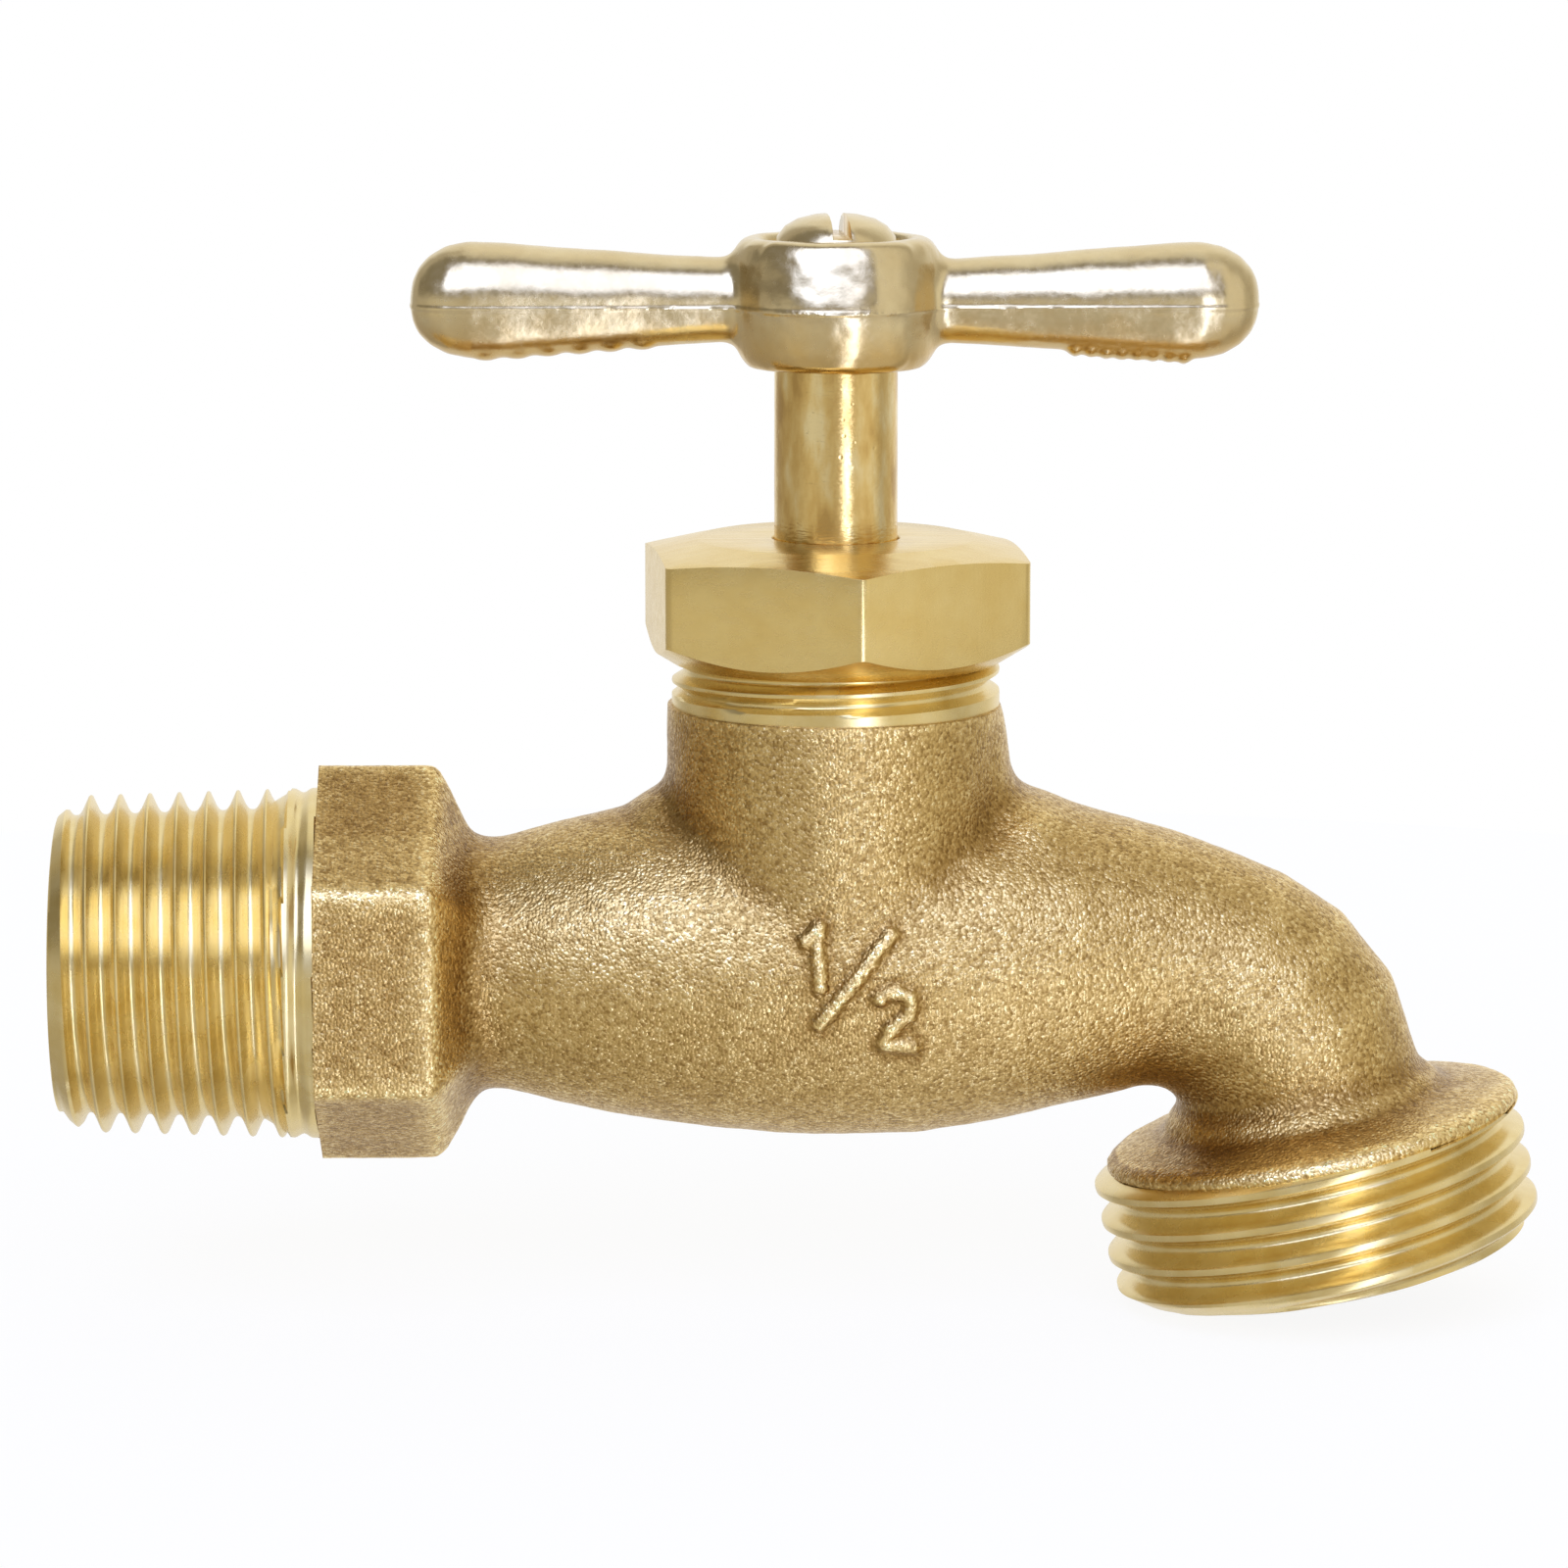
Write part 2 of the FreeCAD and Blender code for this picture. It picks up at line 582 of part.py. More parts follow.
def make_body():
    casting = new_body("casting")
    add_hexagon(casting)
    add_run(casting)
    add_neck(casting)
    add_outlet(casting)
    round_neck_root(casting)
    pipe = new_sketch(casting, "pipe_outline", "XZ_Plane", turn="-90")
    end = "(dim.pipe_major / 2 + dim.pipe_length * tan(dim.pipe_slope * 1 deg))"
    land = "%s - dim.land_drop" % end
    inside = "%s + dim.run_over" % HEX_START
    start = "dim.pipe_major / 2"
    draw_outline(pipe, [
        ("0", "0"), ("%s - dim.pipe_chamfer" % start, "0"), (start, "dim.pipe_chamfer"),
        (end, "dim.pipe_length"), (land, "dim.pipe_length"), (land, inside), ("0", inside),
    ])
    revolve(casting, "PartDesign::Revolution", "pipe_blank", pipe)
    cut_waterway(casting)
    cut_body_threads(casting)
    return cut_pipe_thread(casting)


def on_stem_axis(piece):
    """Stands a piece that was drawn about its own upright axis on the stem's axis."""
    piece.setExpression(".Placement.Base.x", "dim.stem_at")
    return piece


def turned(name, outline):
    """A round piece on the stem's axis, from half its section."""
    body = on_stem_axis(new_body(name))
    sketch = new_sketch(body, name + "_outline", "XZ_Plane")
    draw_outline(sketch, outline)
    revolve(body, "PartDesign::Revolution", name + "_turned", sketch)
    return body


def drill(body, name, radius, bottom, top):
    """A round hole on the body's own upright axis, between two heights."""
    sketch = new_sketch(body, name + "_outline", "XZ_Plane")
    draw_outline(sketch, [("0", bottom), (radius, bottom), (radius, top), ("0", top)])
    revolve(body, "PartDesign::Groove", name, sketch)


def ring(name, inner, outer, bottom, top):
    return turned(name, [(inner, bottom), (outer, bottom), (outer, top), (inner, top)])


def extrude(body, kind, name, corners, level, length, reverse=False):
    """A straight block or cut from corners on a level plane."""
    sketch = new_sketch(body, name + "_outline", "XY_Plane", shift=("0", "0", level))
    draw_outline(sketch, corners)
    feature = body.newObject(kind, name)
    feature.Profile = sketch
    feature.Reversed = reverse
    feature.setExpression("Length", length)
    document.recompute()


def oblong(half_x, half_y):
    return [
        ("-(%s)" % half_x, "-(%s)" % half_y), (half_x, "-(%s)" % half_y),
        (half_x, half_y), ("-(%s)" % half_x, half_y),
    ]


def make_stem():
    """Turned stem: washer cup and disc, lifting thread, shank, and the square that drives it."""
    cup = "(dim.disc_radius - dim.cup_wall)"
    disc_top = "(%s + dim.disc_thickness)" % DISC
    thread_top = "(dim.lift_start + dim.lift_length)"
    stem = turned("stem", [
        ("0", DISC), (cup, DISC), (cup, "%s - dim.cup_depth" % DISC),
        ("dim.disc_radius", "%s - dim.cup_depth" % DISC), ("dim.disc_radius", disc_top),
        ("dim.stem_waist", disc_top), ("dim.stem_waist", "dim.lift_start"),
        ("dim.lift_major - dim.lift_cut", "dim.lift_start"),
        ("dim.lift_major", "dim.lift_start + dim.lift_cut / 2"),
        ("dim.lift_major", "%s - dim.lift_cut / 2" % thread_top),
        ("dim.lift_major - dim.lift_cut", thread_top), ("dim.shank_radius", thread_top),
        ("dim.shank_radius", HUB_BOTTOM), ("0", HUB_BOTTOM),
    ])
    half = "dim.square_flats / 2"
    extrude(stem, "PartDesign::Pad", "stem_square", oblong(half, half), HUB_BOTTOM, "dim.square_height")
    top = "(%s + dim.square_height)" % HUB_BOTTOM
    drill(stem, "top_hole", "dim.cap_shank + dim.fit", "%s - dim.cap_length - dim.fit" % CAP_SEAT, top)
    drill(stem, "foot_hole", "dim.screw_shank + dim.fit", DISC, "%s + dim.screw_length + dim.fit" % SEAT)
    groove = new_sketch(stem, "lift_groove", "XZ_Plane")
    outer = "(dim.lift_major + dim.fit)"
    flank = "(dim.lift_major - %s) * tan(dim.lift_flank * 1 deg)"
    gap = "((dim.lift_pitch - dim.lift_ridge) / 2 - " + flank + ")"
    draw_outline(groove, wedge_outline(
        LIFT_MINOR, outer, gap % LIFT_MINOR, gap % outer, "dim.lift_start - dim.lift_pitch",
    ))
    helix(stem, "PartDesign::SubtractiveHelix", "lift_thread", groove, "dim.lift_pitch",
          "dim.lift_length + 2 * dim.lift_pitch")
    return stem


def make_packing_nut():
    """Hexagon cap that screws down over the neck and squeezes the packing round the stem."""
    nut = on_stem_axis(new_body("packing_nut"))
    turn = Rotation(Vector(0, 0, 1), number("dim.nut_turn"))
    nut.Placement = Placement(Vector(number("dim.stem_at"), 0, 0), turn)
    nut.setExpression(".Placement.Rotation.Angle", "dim.nut_turn")
    extrude(nut, "PartDesign::Pad", "nut_hexagon", hexagon_corners(NUT_FLATS), NUT_BOTTOM,
            "%s - %s" % (NUT_TOP, NUT_BOTTOM))
    corner = "(%s / sqrt(3))" % NUT_FLATS
    outside = "(%s + dim.run_over)" % corner
    rim = new_sketch(nut, "nut_top_bevel", "XZ_Plane")
    flat = "(%s / 2 - dim.nut_top_edge)" % NUT_FLATS
    draw_outline(rim, [
        (flat, NUT_TOP), (corner, "%s - dim.nut_corner_drop" % NUT_TOP),
        (outside, "%s - dim.nut_corner_drop" % NUT_TOP), (outside, "%s + dim.run_over" % NUT_TOP),
        (flat, "%s + dim.run_over" % NUT_TOP),
    ])
    revolve(nut, "PartDesign::Groove", "nut_top_bevel_cut", rim)
    foot = new_sketch(nut, "nut_foot_bevel", "XZ_Plane")
    minor = "(%s + dim.nut_play)" % COLLAR_MINOR
    lip = "(%s + dim.nut_foot_ring)" % minor
    draw_outline(foot, [
        (lip, NUT_BOTTOM), (corner, "%s + dim.nut_corner_rise" % NUT_BOTTOM),
        (outside, "%s + dim.nut_corner_rise" % NUT_BOTTOM), (outside, "%s - dim.run_over" % NUT_BOTTOM),
        (lip, "%s - dim.run_over" % NUT_BOTTOM),
    ])
    revolve(nut, "PartDesign::Groove", "nut_foot_bevel_cut", foot)
    drill(nut, "stem_hole", STEM_BORE, NUT_BOTTOM, NUT_TOP)
    drill(nut, "packing_room", "%s + dim.fit" % PACKING_RADIUS, NUT_BOTTOM, NUT_CEILING)
    drill(nut, "thread_room", minor, NUT_BOTTOM, GLAND_TOP)
    groove = new_sketch(nut, "nut_groove", "XZ_Plane", turn="-dim.nut_turn", turn_axis=Vector(0, 1, 0))
    inner = "(%s - dim.skim)" % minor
    outer = "(dim.collar_radius + dim.nut_play)"
    flank = "(dim.collar_radius - %s) * tan(dim.flank * 1 deg)"
    ridge = "(dim.neck_crest / 2 + dim.nut_play + " + flank + ")"
    draw_outline(groove, wedge_outline(
        inner, outer, ridge % inner, ridge % outer, "%s + dim.neck_pitch / 2" % NECK_FIRST,
    ))
    helix(nut, "PartDesign::SubtractiveHelix", "nut_thread", groove, "dim.neck_pitch",
          "%s - %s - dim.neck_pitch" % (GLAND_TOP, NECK_FIRST))
    return nut


def make_hub():
    """Hub of the handle: round outside, dished on top, with a square hole up from below."""
    screw_way = "(dim.cap_shank + dim.cap_clearance)"
    hub = turned("hub", [
        (screw_way, HUB_BOTTOM), ("dim.hub_radius - dim.hub_round", HUB_BOTTOM),
        ("dim.hub_radius", "%s + dim.hub_round" % HUB_BOTTOM),
        ("dim.hub_radius", "%s - dim.hub_round / 2" % HUB_TOP),
        ("dim.hub_radius - dim.hub_round / 2", HUB_TOP), ("dim.dish_radius", HUB_TOP),
        ("dim.dish_radius", CAP_SEAT), (screw_way, CAP_SEAT),
    ])
    half = "dim.square_flats / 2 + dim.fit"
    extrude(hub, "PartDesign::Pocket", "square_hole", oblong(half, half), HUB_BOTTOM,
            "dim.square_height + dim.cap_clearance", reverse=True)
    return hub


def arm_oval(name, across, half_height, half_depth):
    """One upright oval section of an arm, at a place along it."""
    oval = document.addObject("Part::Ellipse", name)
    oval.setExpression("MajorRadius", half_height)
    oval.setExpression("MinorRadius", half_depth)
    oval.Placement = Placement(Vector(), Rotation(Vector(0, 1, 0), -90))
    oval.setExpression(".Placement.Base.x", across)
    oval.setExpression(".Placement.Base.z", "%s + dim.arm_height" % HUB_BOTTOM)
    return oval


def make_arm(side, sign):
    """One arm of the handle: an oval bar that swells outwards to a round nose."""
    root = "dim.stem_at %s dim.dish_radius" % sign
    ovals = [arm_oval(side + "_root", root, "dim.arm_root_half_height", "dim.arm_root_half_depth")]
    for index, (share, size) in enumerate([(0, 1), (0.42, 0.91), (0.77, 0.64), (0.94, 0.34), (1, 0.1)]):
        ovals.append(arm_oval(
            "%s_nose_%d" % (side, index),
            "dim.stem_at %s (dim.arm_reach - dim.arm_nose * %g)" % (sign, 1 - share),
            "dim.arm_tip_half_height * %g" % size, "dim.arm_tip_half_depth * %g" % size,
        ))
    arm = document.addObject("Part::Loft", side + "_arm")
    arm.Sections = ovals
    arm.Solid = True
    arm.Ruled = True
    return arm


def make_handle():
    """Die cast tee handle, hub and two arms in one piece."""
    handle = document.addObject("Part::MultiFuse", "handle")
    handle.Label = "handle"
    handle.Shapes = [make_hub(), make_arm("left", "-"), make_arm("right", "+")]
    document.recompute()
    return handle


def make_handle_screw():
    """Round-headed slotted screw that holds the handle down on the stem's shoulder."""
    head_top = "(%s + dim.cap_height)" % CAP_SEAT
    foot = "(%s - dim.cap_length)" % CAP_SEAT
    screw = turned("handle_screw", [
        ("0", foot), ("dim.cap_shank", foot), ("dim.cap_shank", CAP_SEAT), ("dim.cap_radius", CAP_SEAT),
        ("dim.cap_radius", head_top), ("0", head_top),
    ])
    rim = [
        "Edge%d" % index for index, edge in enumerate(screw.Tip.Shape.Edges, start=1)
        if isinstance(edge.Curve, Part.Circle) and abs(edge.Curve.Center.z - number(head_top)) < 0.001
    ]
    head = screw.Tip
    dome = screw.newObject("PartDesign::Fillet", "dome")
    dome.Base = (head, rim)
    dome.setExpression("Radius", "dim.cap_height * dim.cap_dome")
    document.recompute()
    slot = oblong("dim.cap_slot / 2", "dim.cap_radius + dim.run_over")
    extrude(screw, "PartDesign::Pocket", "cap_slot", slot, head_top, "dim.cap_slot_depth")
    return screw


def make_seat_screw():
    """Slotted screw whose head holds the washer in the stem's cup."""
    foot = "(%s - dim.screw_head_height)" % SEAT
    screw = turned("seat_screw", [
        ("0", foot), ("dim.screw_head", foot), ("dim.screw_head", SEAT), ("dim.screw_shank", SEAT),
        ("dim.screw_shank", "%s + dim.screw_length" % SEAT), ("0", "%s + dim.screw_length" % SEAT),
    ])
    slot = oblong("dim.screw_slot / 2", "dim.screw_head + dim.run_over")
    extrude(screw, "PartDesign::Pocket", "screw_slot", slot, foot, "dim.screw_slot_depth", reverse=True)
    return screw


nodes = [
    make_body(),
    make_stem(),
    ring("seat_washer", "dim.screw_shank + dim.fit", WASHER_RADIUS, SEAT, DISC),
    make_seat_screw(),
    ring("packing_washer", STEM_BORE, "%s - dim.gland_play" % COLLAR_MINOR, NECK_TOP, GLAND_TOP),
    ring("packing_ring", STEM_BORE, PACKING_RADIUS, GLAND_TOP, NUT_CEILING),
    make_packing_nut(),
    make_handle(),
    make_handle_screw(),
]
document.recompute()
for made in document.Objects:
    if "Invalid" in made.State or "Error" in made.State:
        raise RuntimeError("%s failed: %s" % (made.Name, made.State))
os.makedirs(NODES, exist_ok=True)
for node in nodes:
    if node.Shape.isNull() or not node.Shape.isValid() or len(node.Shape.Solids) != 1:
        raise RuntimeError(node.Label + " is not one valid solid")
    node.Shape.exportStep("%s/%s.step" % (NODES, node.Label))
    print(node.Label, round(node.Shape.Volume, 1))
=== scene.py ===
from math import atan2, cos, hypot, pi, radians, sin, tau

import bmesh
import bpy
from mathutils import Matrix, Vector, noise


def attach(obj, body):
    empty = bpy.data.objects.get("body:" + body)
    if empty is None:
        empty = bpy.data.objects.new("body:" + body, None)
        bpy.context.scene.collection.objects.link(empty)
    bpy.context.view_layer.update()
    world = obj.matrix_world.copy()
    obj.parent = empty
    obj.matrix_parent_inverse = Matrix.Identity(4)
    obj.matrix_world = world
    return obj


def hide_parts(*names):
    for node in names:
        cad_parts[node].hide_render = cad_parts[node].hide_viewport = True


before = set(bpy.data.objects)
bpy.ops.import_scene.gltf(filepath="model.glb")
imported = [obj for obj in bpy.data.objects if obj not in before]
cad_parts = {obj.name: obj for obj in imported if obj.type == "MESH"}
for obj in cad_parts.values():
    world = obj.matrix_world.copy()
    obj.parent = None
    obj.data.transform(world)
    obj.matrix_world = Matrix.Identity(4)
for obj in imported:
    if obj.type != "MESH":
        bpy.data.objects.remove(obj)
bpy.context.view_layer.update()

# Body casting. The real one is sand cast in brass: wrench hexagon, waist, globe, neck,
# spout and flange in one pour, with soft edges, filleted roots and a grainy skin. The
# water's way through it is cored and bored, and its pipe size stands up on the front.

STEM_AXIS = 48.03
SPOUT_TURN = radians(11.39)
OUTLET_END = Vector((78.92, 0, -19.075))
to_outlet = Matrix.Translation(OUTLET_END) @ Matrix.Rotation(-SPOUT_TURN, 4, "Y")
to_stem = Matrix.Translation((STEM_AXIS, 0, 0))


def lathe(shell, outline, place, steps=96):
    """Turns half a section, (radius, height) pairs that start and end on the axis, into a closed shell."""
    before = set(shell.verts)
    rim = [shell.verts.new((radius, 0, height)) for radius, height in outline]
    edges = [shell.edges.new(pair) for pair in zip(rim, rim[1:])]
    bmesh.ops.spin(
        shell, geom=rim + edges, cent=(0, 0, 0), axis=(0, 0, 1), angle=tau, steps=steps, use_merge=True)
    bmesh.ops.remove_doubles(shell, verts=[v for v in shell.verts if v not in before], dist=0.0005)
    bmesh.ops.transform(shell, matrix=place, verts=[v for v in shell.verts if v not in before])


def draw_on(shell, face):
    """Draws a face out of a shell without moving it yet, and gives the new face and its corners."""
    drawn = bmesh.ops.extrude_face_region(shell, geom=[face])["geom"]
    corners = [part for part in drawn if isinstance(part, bmesh.types.BMVert)]
    return next(part for part in drawn if isinstance(part, bmesh.types.BMFace)), corners


def loft(shell, sections, sides=72):
    """Carries a round section through places given as (centre, turn about Y, radius), and caps both ends."""
    places = [
        Matrix.Translation(centre) @ Matrix.Rotation(turn, 4, "Y") @ Matrix.Diagonal((radius, radius, 1, 1))
        for centre, turn, radius in sections]
    ring = bmesh.ops.create_circle(shell, cap_ends=True, radius=1, segments=sides, matrix=places[0])["verts"]
    face = ring[0].link_faces[0]
    for before, after in zip(places, places[1:]):
        cap = face
        face, corners = draw_on(shell, cap)
        if before != places[0] and cap.is_valid:
            bmesh.ops.delete(shell, geom=[cap], context="FACES_ONLY")
        bmesh.ops.transform(shell, matrix=after @ before.inverted(), verts=corners)


def settle(shell, name):
    """Closes a shell's seams, turns its faces outwards and makes it an object in metres."""
    bmesh.ops.remove_doubles(shell, verts=shell.verts, dist=0.0005)
    bmesh.ops.recalc_face_normals(shell, faces=shell.faces)
    bmesh.ops.scale(shell, vec=(0.001, 0.001, 0.001), verts=shell.verts)
    mesh = bpy.data.meshes.new(name)
    shell.to_mesh(mesh)
    shell.free()
    made = bpy.data.objects.new(name, mesh)
    bpy.context.scene.collection.objects.link(made)
    return made


def fix_modifiers(piece):
    """Makes what a piece's modifiers show its own mesh."""
    bpy.context.view_layer.update()
    shown = piece.evaluated_get(bpy.context.evaluated_depsgraph_get())
    mesh = bpy.data.meshes.new_from_object(shown)
    piece.modifiers.clear()
    old, piece.data = piece.data, mesh
    mesh.name = piece.name
    bpy.data.meshes.remove(old)


def fuse(piece, size):
    """Melts overlapping shells into one skin, of faces of about a size in metres."""
    skin = piece.modifiers.new("skin", "REMESH")
    skin.mode = "VOXEL"
    skin.voxel_size = size
    skin.use_smooth_shade = True
    fix_modifiers(piece)


def cut(piece, tool, operation="DIFFERENCE", solver="MANIFOLD"):
    """Cuts a tool's shape out of a piece, or all but that shape, and puts the tool away."""
    taken = piece.modifiers.new("cut", "BOOLEAN")
    taken.operation = operation
    taken.solver = solver
    taken.object = tool
    fix_modifiers(piece)
    bpy.data.objects.remove(tool)


def turn_out(piece, name, outline, place, steps=96):
    """Cuts a turned shape, given as half its section, out of a piece."""
    tool = bmesh.new()
    lathe(tool, outline, place, steps)
    cut(piece, settle(tool, name))


def smooth_by_angle(piece, angle):
    """Shades a piece smooth, but for edges sharper than an angle in degrees."""
    piece.data.shade_smooth()
    piece.data.set_sharp_from_angle(angle=radians(angle))


HEX_FACE, HEX_CORNER = 15.2, 12.5
HEX_STEPS = ((8.2, 0, 1.0), (0.5, 0.13, 0.95), (1.55, 0.3, 0.75), (0.85, 0, 0.86))
shell = bmesh.new()
hexagon = bmesh.ops.create_circle(
    shell, cap_ends=True, radius=HEX_CORNER, segments=6,
    matrix=Matrix.Translation((HEX_FACE, 0, 0)) @ Matrix.Rotation(pi / 2, 4, "Y") @ Matrix.Rotation(pi / 6, 4, "Z")
    )["verts"]
face = hexagon[0].link_faces[0]
for along, drop, size in HEX_STEPS:
    face, corners = draw_on(shell, face)
    bmesh.ops.translate(shell, vec=(along, 0, -drop), verts=corners)
    bmesh.ops.scale(shell, vec=(1, size, size), verts=corners)

WAIST, WAIST_RADIUS, GLOBE_RADIUS = 27.3, 7.72, 10.9
BEND_CENTRE = Vector((65.9, 0, -10.55))
BEND_SECTIONS = (
    (0, 11.04, 8.51), (10, 10.81, 8.04), (20, 10.79, 7.78), (32, 11.06, 7.74), (45, 11.45, 7.73),
    (60, 11.6, 7.66), (78.6, 11.52, 7.46))


def globe_radius(share):
    """The casting's radius, from its waist at 0 to the middle of its globe at 1."""
    return GLOBE_RADIUS - (GLOBE_RADIUS - WAIST_RADIUS) * (1 - share) ** 1.88


run = [(Vector((20, 0, 0)), pi / 2, WAIST_RADIUS)]
for step in range(7):
    share = step / 6
    spot = Vector((WAIST + share * (STEM_AXIS - WAIST), 0, 0.2 * min(1, 1.6 * share)))
    run.append((spot, pi / 2, globe_radius(share)))
for along, lift, radius in ((53, 0.2, 10.8), (58, 0.42, 10.24), (62, 0.6, 9.5)):
    run.append((Vector((along, 0, lift)), pi / 2, radius))
for turn, out, radius in BEND_SECTIONS:
    turn = radians(turn)
    run.append((BEND_CENTRE + out * Vector((sin(turn), 0, cos(turn))), pi / 2 + turn, radius))
run.append((to_outlet @ Vector((0.2, 0, 7)), pi - SPOUT_TURN, 7.42))
loft(shell, run)

NECK_RADIUS, NECK_RIM = 10.39, 17.2
FLANGE = [(0, 7.6), (12.6, 7.6), (13.0, 8.3), (13.0, 8.85), (12.7, 9.16), (9.0, 10.08), (0, 10.4)]
FLANGE_ROOT = [(0, 9), (8.5, 9), (8.65, 10.5), (8.35, 10.95), (7.8, 11.3), (7.2, 12.6), (0, 12.6)]
GUSSETS = (
    ((59.7, 0, 9.0), (3.0, 6, 1.85)), ((57.5, 0, 12.0), (1.35, 4.5, 4.4)), ((37.2, 0, 8.9), (2.0, 4.5, 2.1)))
SKIN_FACE = 0.0003
lathe(shell, [(0, 0), (NECK_RADIUS, 0), (NECK_RADIUS, NECK_RIM), (0, NECK_RIM)], to_stem)
lathe(shell, FLANGE, to_outlet @ Matrix.Translation((0.45, 0, 0)))
lathe(shell, FLANGE_ROOT, to_outlet @ Matrix.Translation((0.2, 0, 0)))
for spot, size in GUSSETS:
    gusset = Matrix.Translation(spot) @ Matrix.Diagonal((*size, 1))
    bmesh.ops.create_uvsphere(shell, u_segments=40, v_segments=24, radius=1, matrix=gusset)
casting = settle(shell, "casting")
fuse(casting, SKIN_FACE)

# The skin is eased all over as sand rounds it, and more round the foot of the neck, where
# the spout leaves the globe and behind the hexagon.
shell = bmesh.new()
shell.from_mesh(casting.data)
bmesh.ops.scale(shell, vec=(1000, 1000, 1000), verts=shell.verts)


def clamp(value):
    """A value kept from 0 to 1."""
    return min(1, max(0, value))


def ease(shell, verts, times):
    """Smooths some of a shell's points, a number of times."""
    for _ in range(times):
        bmesh.ops.smooth_vert(
            shell, verts=verts, factor=0.5, use_axis_x=True, use_axis_y=True, use_axis_z=True)


root = [
    vert for vert in shell.verts
    if 2 < vert.co.z < 14 and abs(hypot(vert.co.x - STEM_AXIS, vert.co.y) - 10.42) < 2.6
    and abs(hypot(vert.co.y, vert.co.z) - globe_radius(clamp((vert.co.x - WAIST) / (STEM_AXIS - WAIST)))) < 2.2]
right_root = [vert for vert in shell.verts if 57.5 < vert.co.x < 66 and vert.co.z > 6 and abs(vert.co.y) < 8]
ease(shell, right_root, 70)
ease(shell, root, 38)
waist = [vert for vert in shell.verts if 24.9 < vert.co.x < 28.0]
ease(shell, waist, 30)
ease(shell, shell.verts, 9)

# The raised pipe size, drawn as the middle lines of its strokes.
STROKES = [
    [(46.00, 3.17), (46.78, 3.99), (46.71, 2.77), (46.88, 0.42)],
    [(46.83, -1.91), (51.16, 3.61)],
    [(50.44, -0.32), (51.00, 0.04), (51.59, 0.07), (52.21, -0.20), (52.42, -0.75), (52.19, -1.43),
     (51.66, -1.87), (51.13, -2.24), (50.73, -3.26), (52.51, -3.43)]]
STROKE_HEIGHT, STROKE_WIDTH = 0.36, 0.62


def from_stroke(x, z, stroke):
    """How far a point on the front is from a stroke's line."""
    nearest = 9.0
    for (ax, az), (bx, bz) in zip(stroke, stroke[1:]):
        along = ((x - ax) * (bx - ax) + (z - az) * (bz - az)) / ((bx - ax) ** 2 + (bz - az) ** 2)
        along = clamp(along)
        nearest = min(nearest, hypot(x - ax - along * (bx - ax), z - az - along * (bz - az)))
    return nearest


def under_mark(vert):
    """Whether a point lies where the pipe size stands."""
    return vert.co.y < -8 and 44.4 < vert.co.x < 53.8 and -4.7 < vert.co.z < 5.4


near = [edge for edge in shell.edges if all(under_mark(vert) for vert in edge.verts)]
bmesh.ops.subdivide_edges(shell, edges=near, cuts=2, use_grid_fill=True)

# Every point keeps how hollow it is there: how far smoothing would lift it. The skin is
# darker in its hollows, partly brown patina and partly painted shade, and lighter on its
# edges and letters, partly rubbed wear and partly painted highlight. Painted shade is added
# on the hexagon's forward and lower faces, on the neck's left side and the casting's top
# left of it, and on the flange's left rim; a painted highlight lies on the globe's left
# shoulder. The flange sags by a tenth on its left.
PAINTED_HIGHLIGHT_SPOT, PAINTED_HIGHLIGHT_REACH = Vector((37.5, -7.5, 6.2)), 8
for vert in shell.verts:
    swell = noise.noise(vert.co / 2.4) * 0.05 + noise.noise(vert.co / 0.8) * 0.022
    vert.co += vert.normal * swell
patina_wear_and_painted_light = shell.verts.layers.float.new("patina_wear_and_painted_light")
shell.normal_update()
eased = shell.copy()
ease(eased, eased.verts, 45)
from_outlet = to_outlet.inverted()
for vert, moved in zip(shell.verts, eased.verts):
    vert[patina_wear_and_painted_light] = (moved.co - vert.co).dot(vert.normal)
    out = from_outlet @ vert.co
    if 8.7 < out.z < 11.2 and 8.4 < hypot(out.x, out.y):
        vert.co -= to_outlet.col[2].xyz * 0.1 * clamp((-out.x - 4) / 5)
    # Painted shade on the flange's left rim.
    if 8 < out.z < 9.7 and 11.8 < hypot(out.x, out.y):
        vert[patina_wear_and_painted_light] += 0.25 * clamp((-out.x - 2) / 5)
    # Painted shade on the neck's left side and the casting's top left of it.
    if vert.co.z > 9:
        vert[patina_wear_and_painted_light] += 0.07 * clamp((STEM_AXIS - 7 - vert.co.x) / 3)
    # Painted shade on the hexagon's faces that turn forward and down.
    if vert.co.x < 24:
        vert[patina_wear_and_painted_light] += 0.06 * max(0, -0.3 - vert.normal.y) + 0.12 * max(0, -0.55 - vert.normal.z)
    # Painted highlight on the globe's left shoulder.
    vert[patina_wear_and_painted_light] -= 0.05 * max(0, 1 - (vert.co - PAINTED_HIGHLIGHT_SPOT).length / PAINTED_HIGHLIGHT_REACH)
eased.free()
for vert in shell.verts:
    if under_mark(vert):
        gap = min(from_stroke(vert.co.x, vert.co.z, stroke) for stroke in STROKES)
        gap += noise.noise(vert.co / 0.45) * 0.11
        vert.co.y -= STROKE_HEIGHT * max(0, 1 - (gap / STROKE_WIDTH) ** 2) ** 1.3
        # Letter tops painted lighter, rubbed wear and painted highlight; a ring of painted shade round each
        # stroke.
        vert[patina_wear_and_painted_light] += 0.1 * max(0, 1 - abs(gap - 0.66) / 0.55) - 0.5 * max(0, 1 - gap / 0.34)
bmesh.ops.scale(shell, vec=(0.001, 0.001, 0.001), verts=shell.verts)
shell.to_mesh(casting.data)
shell.free()

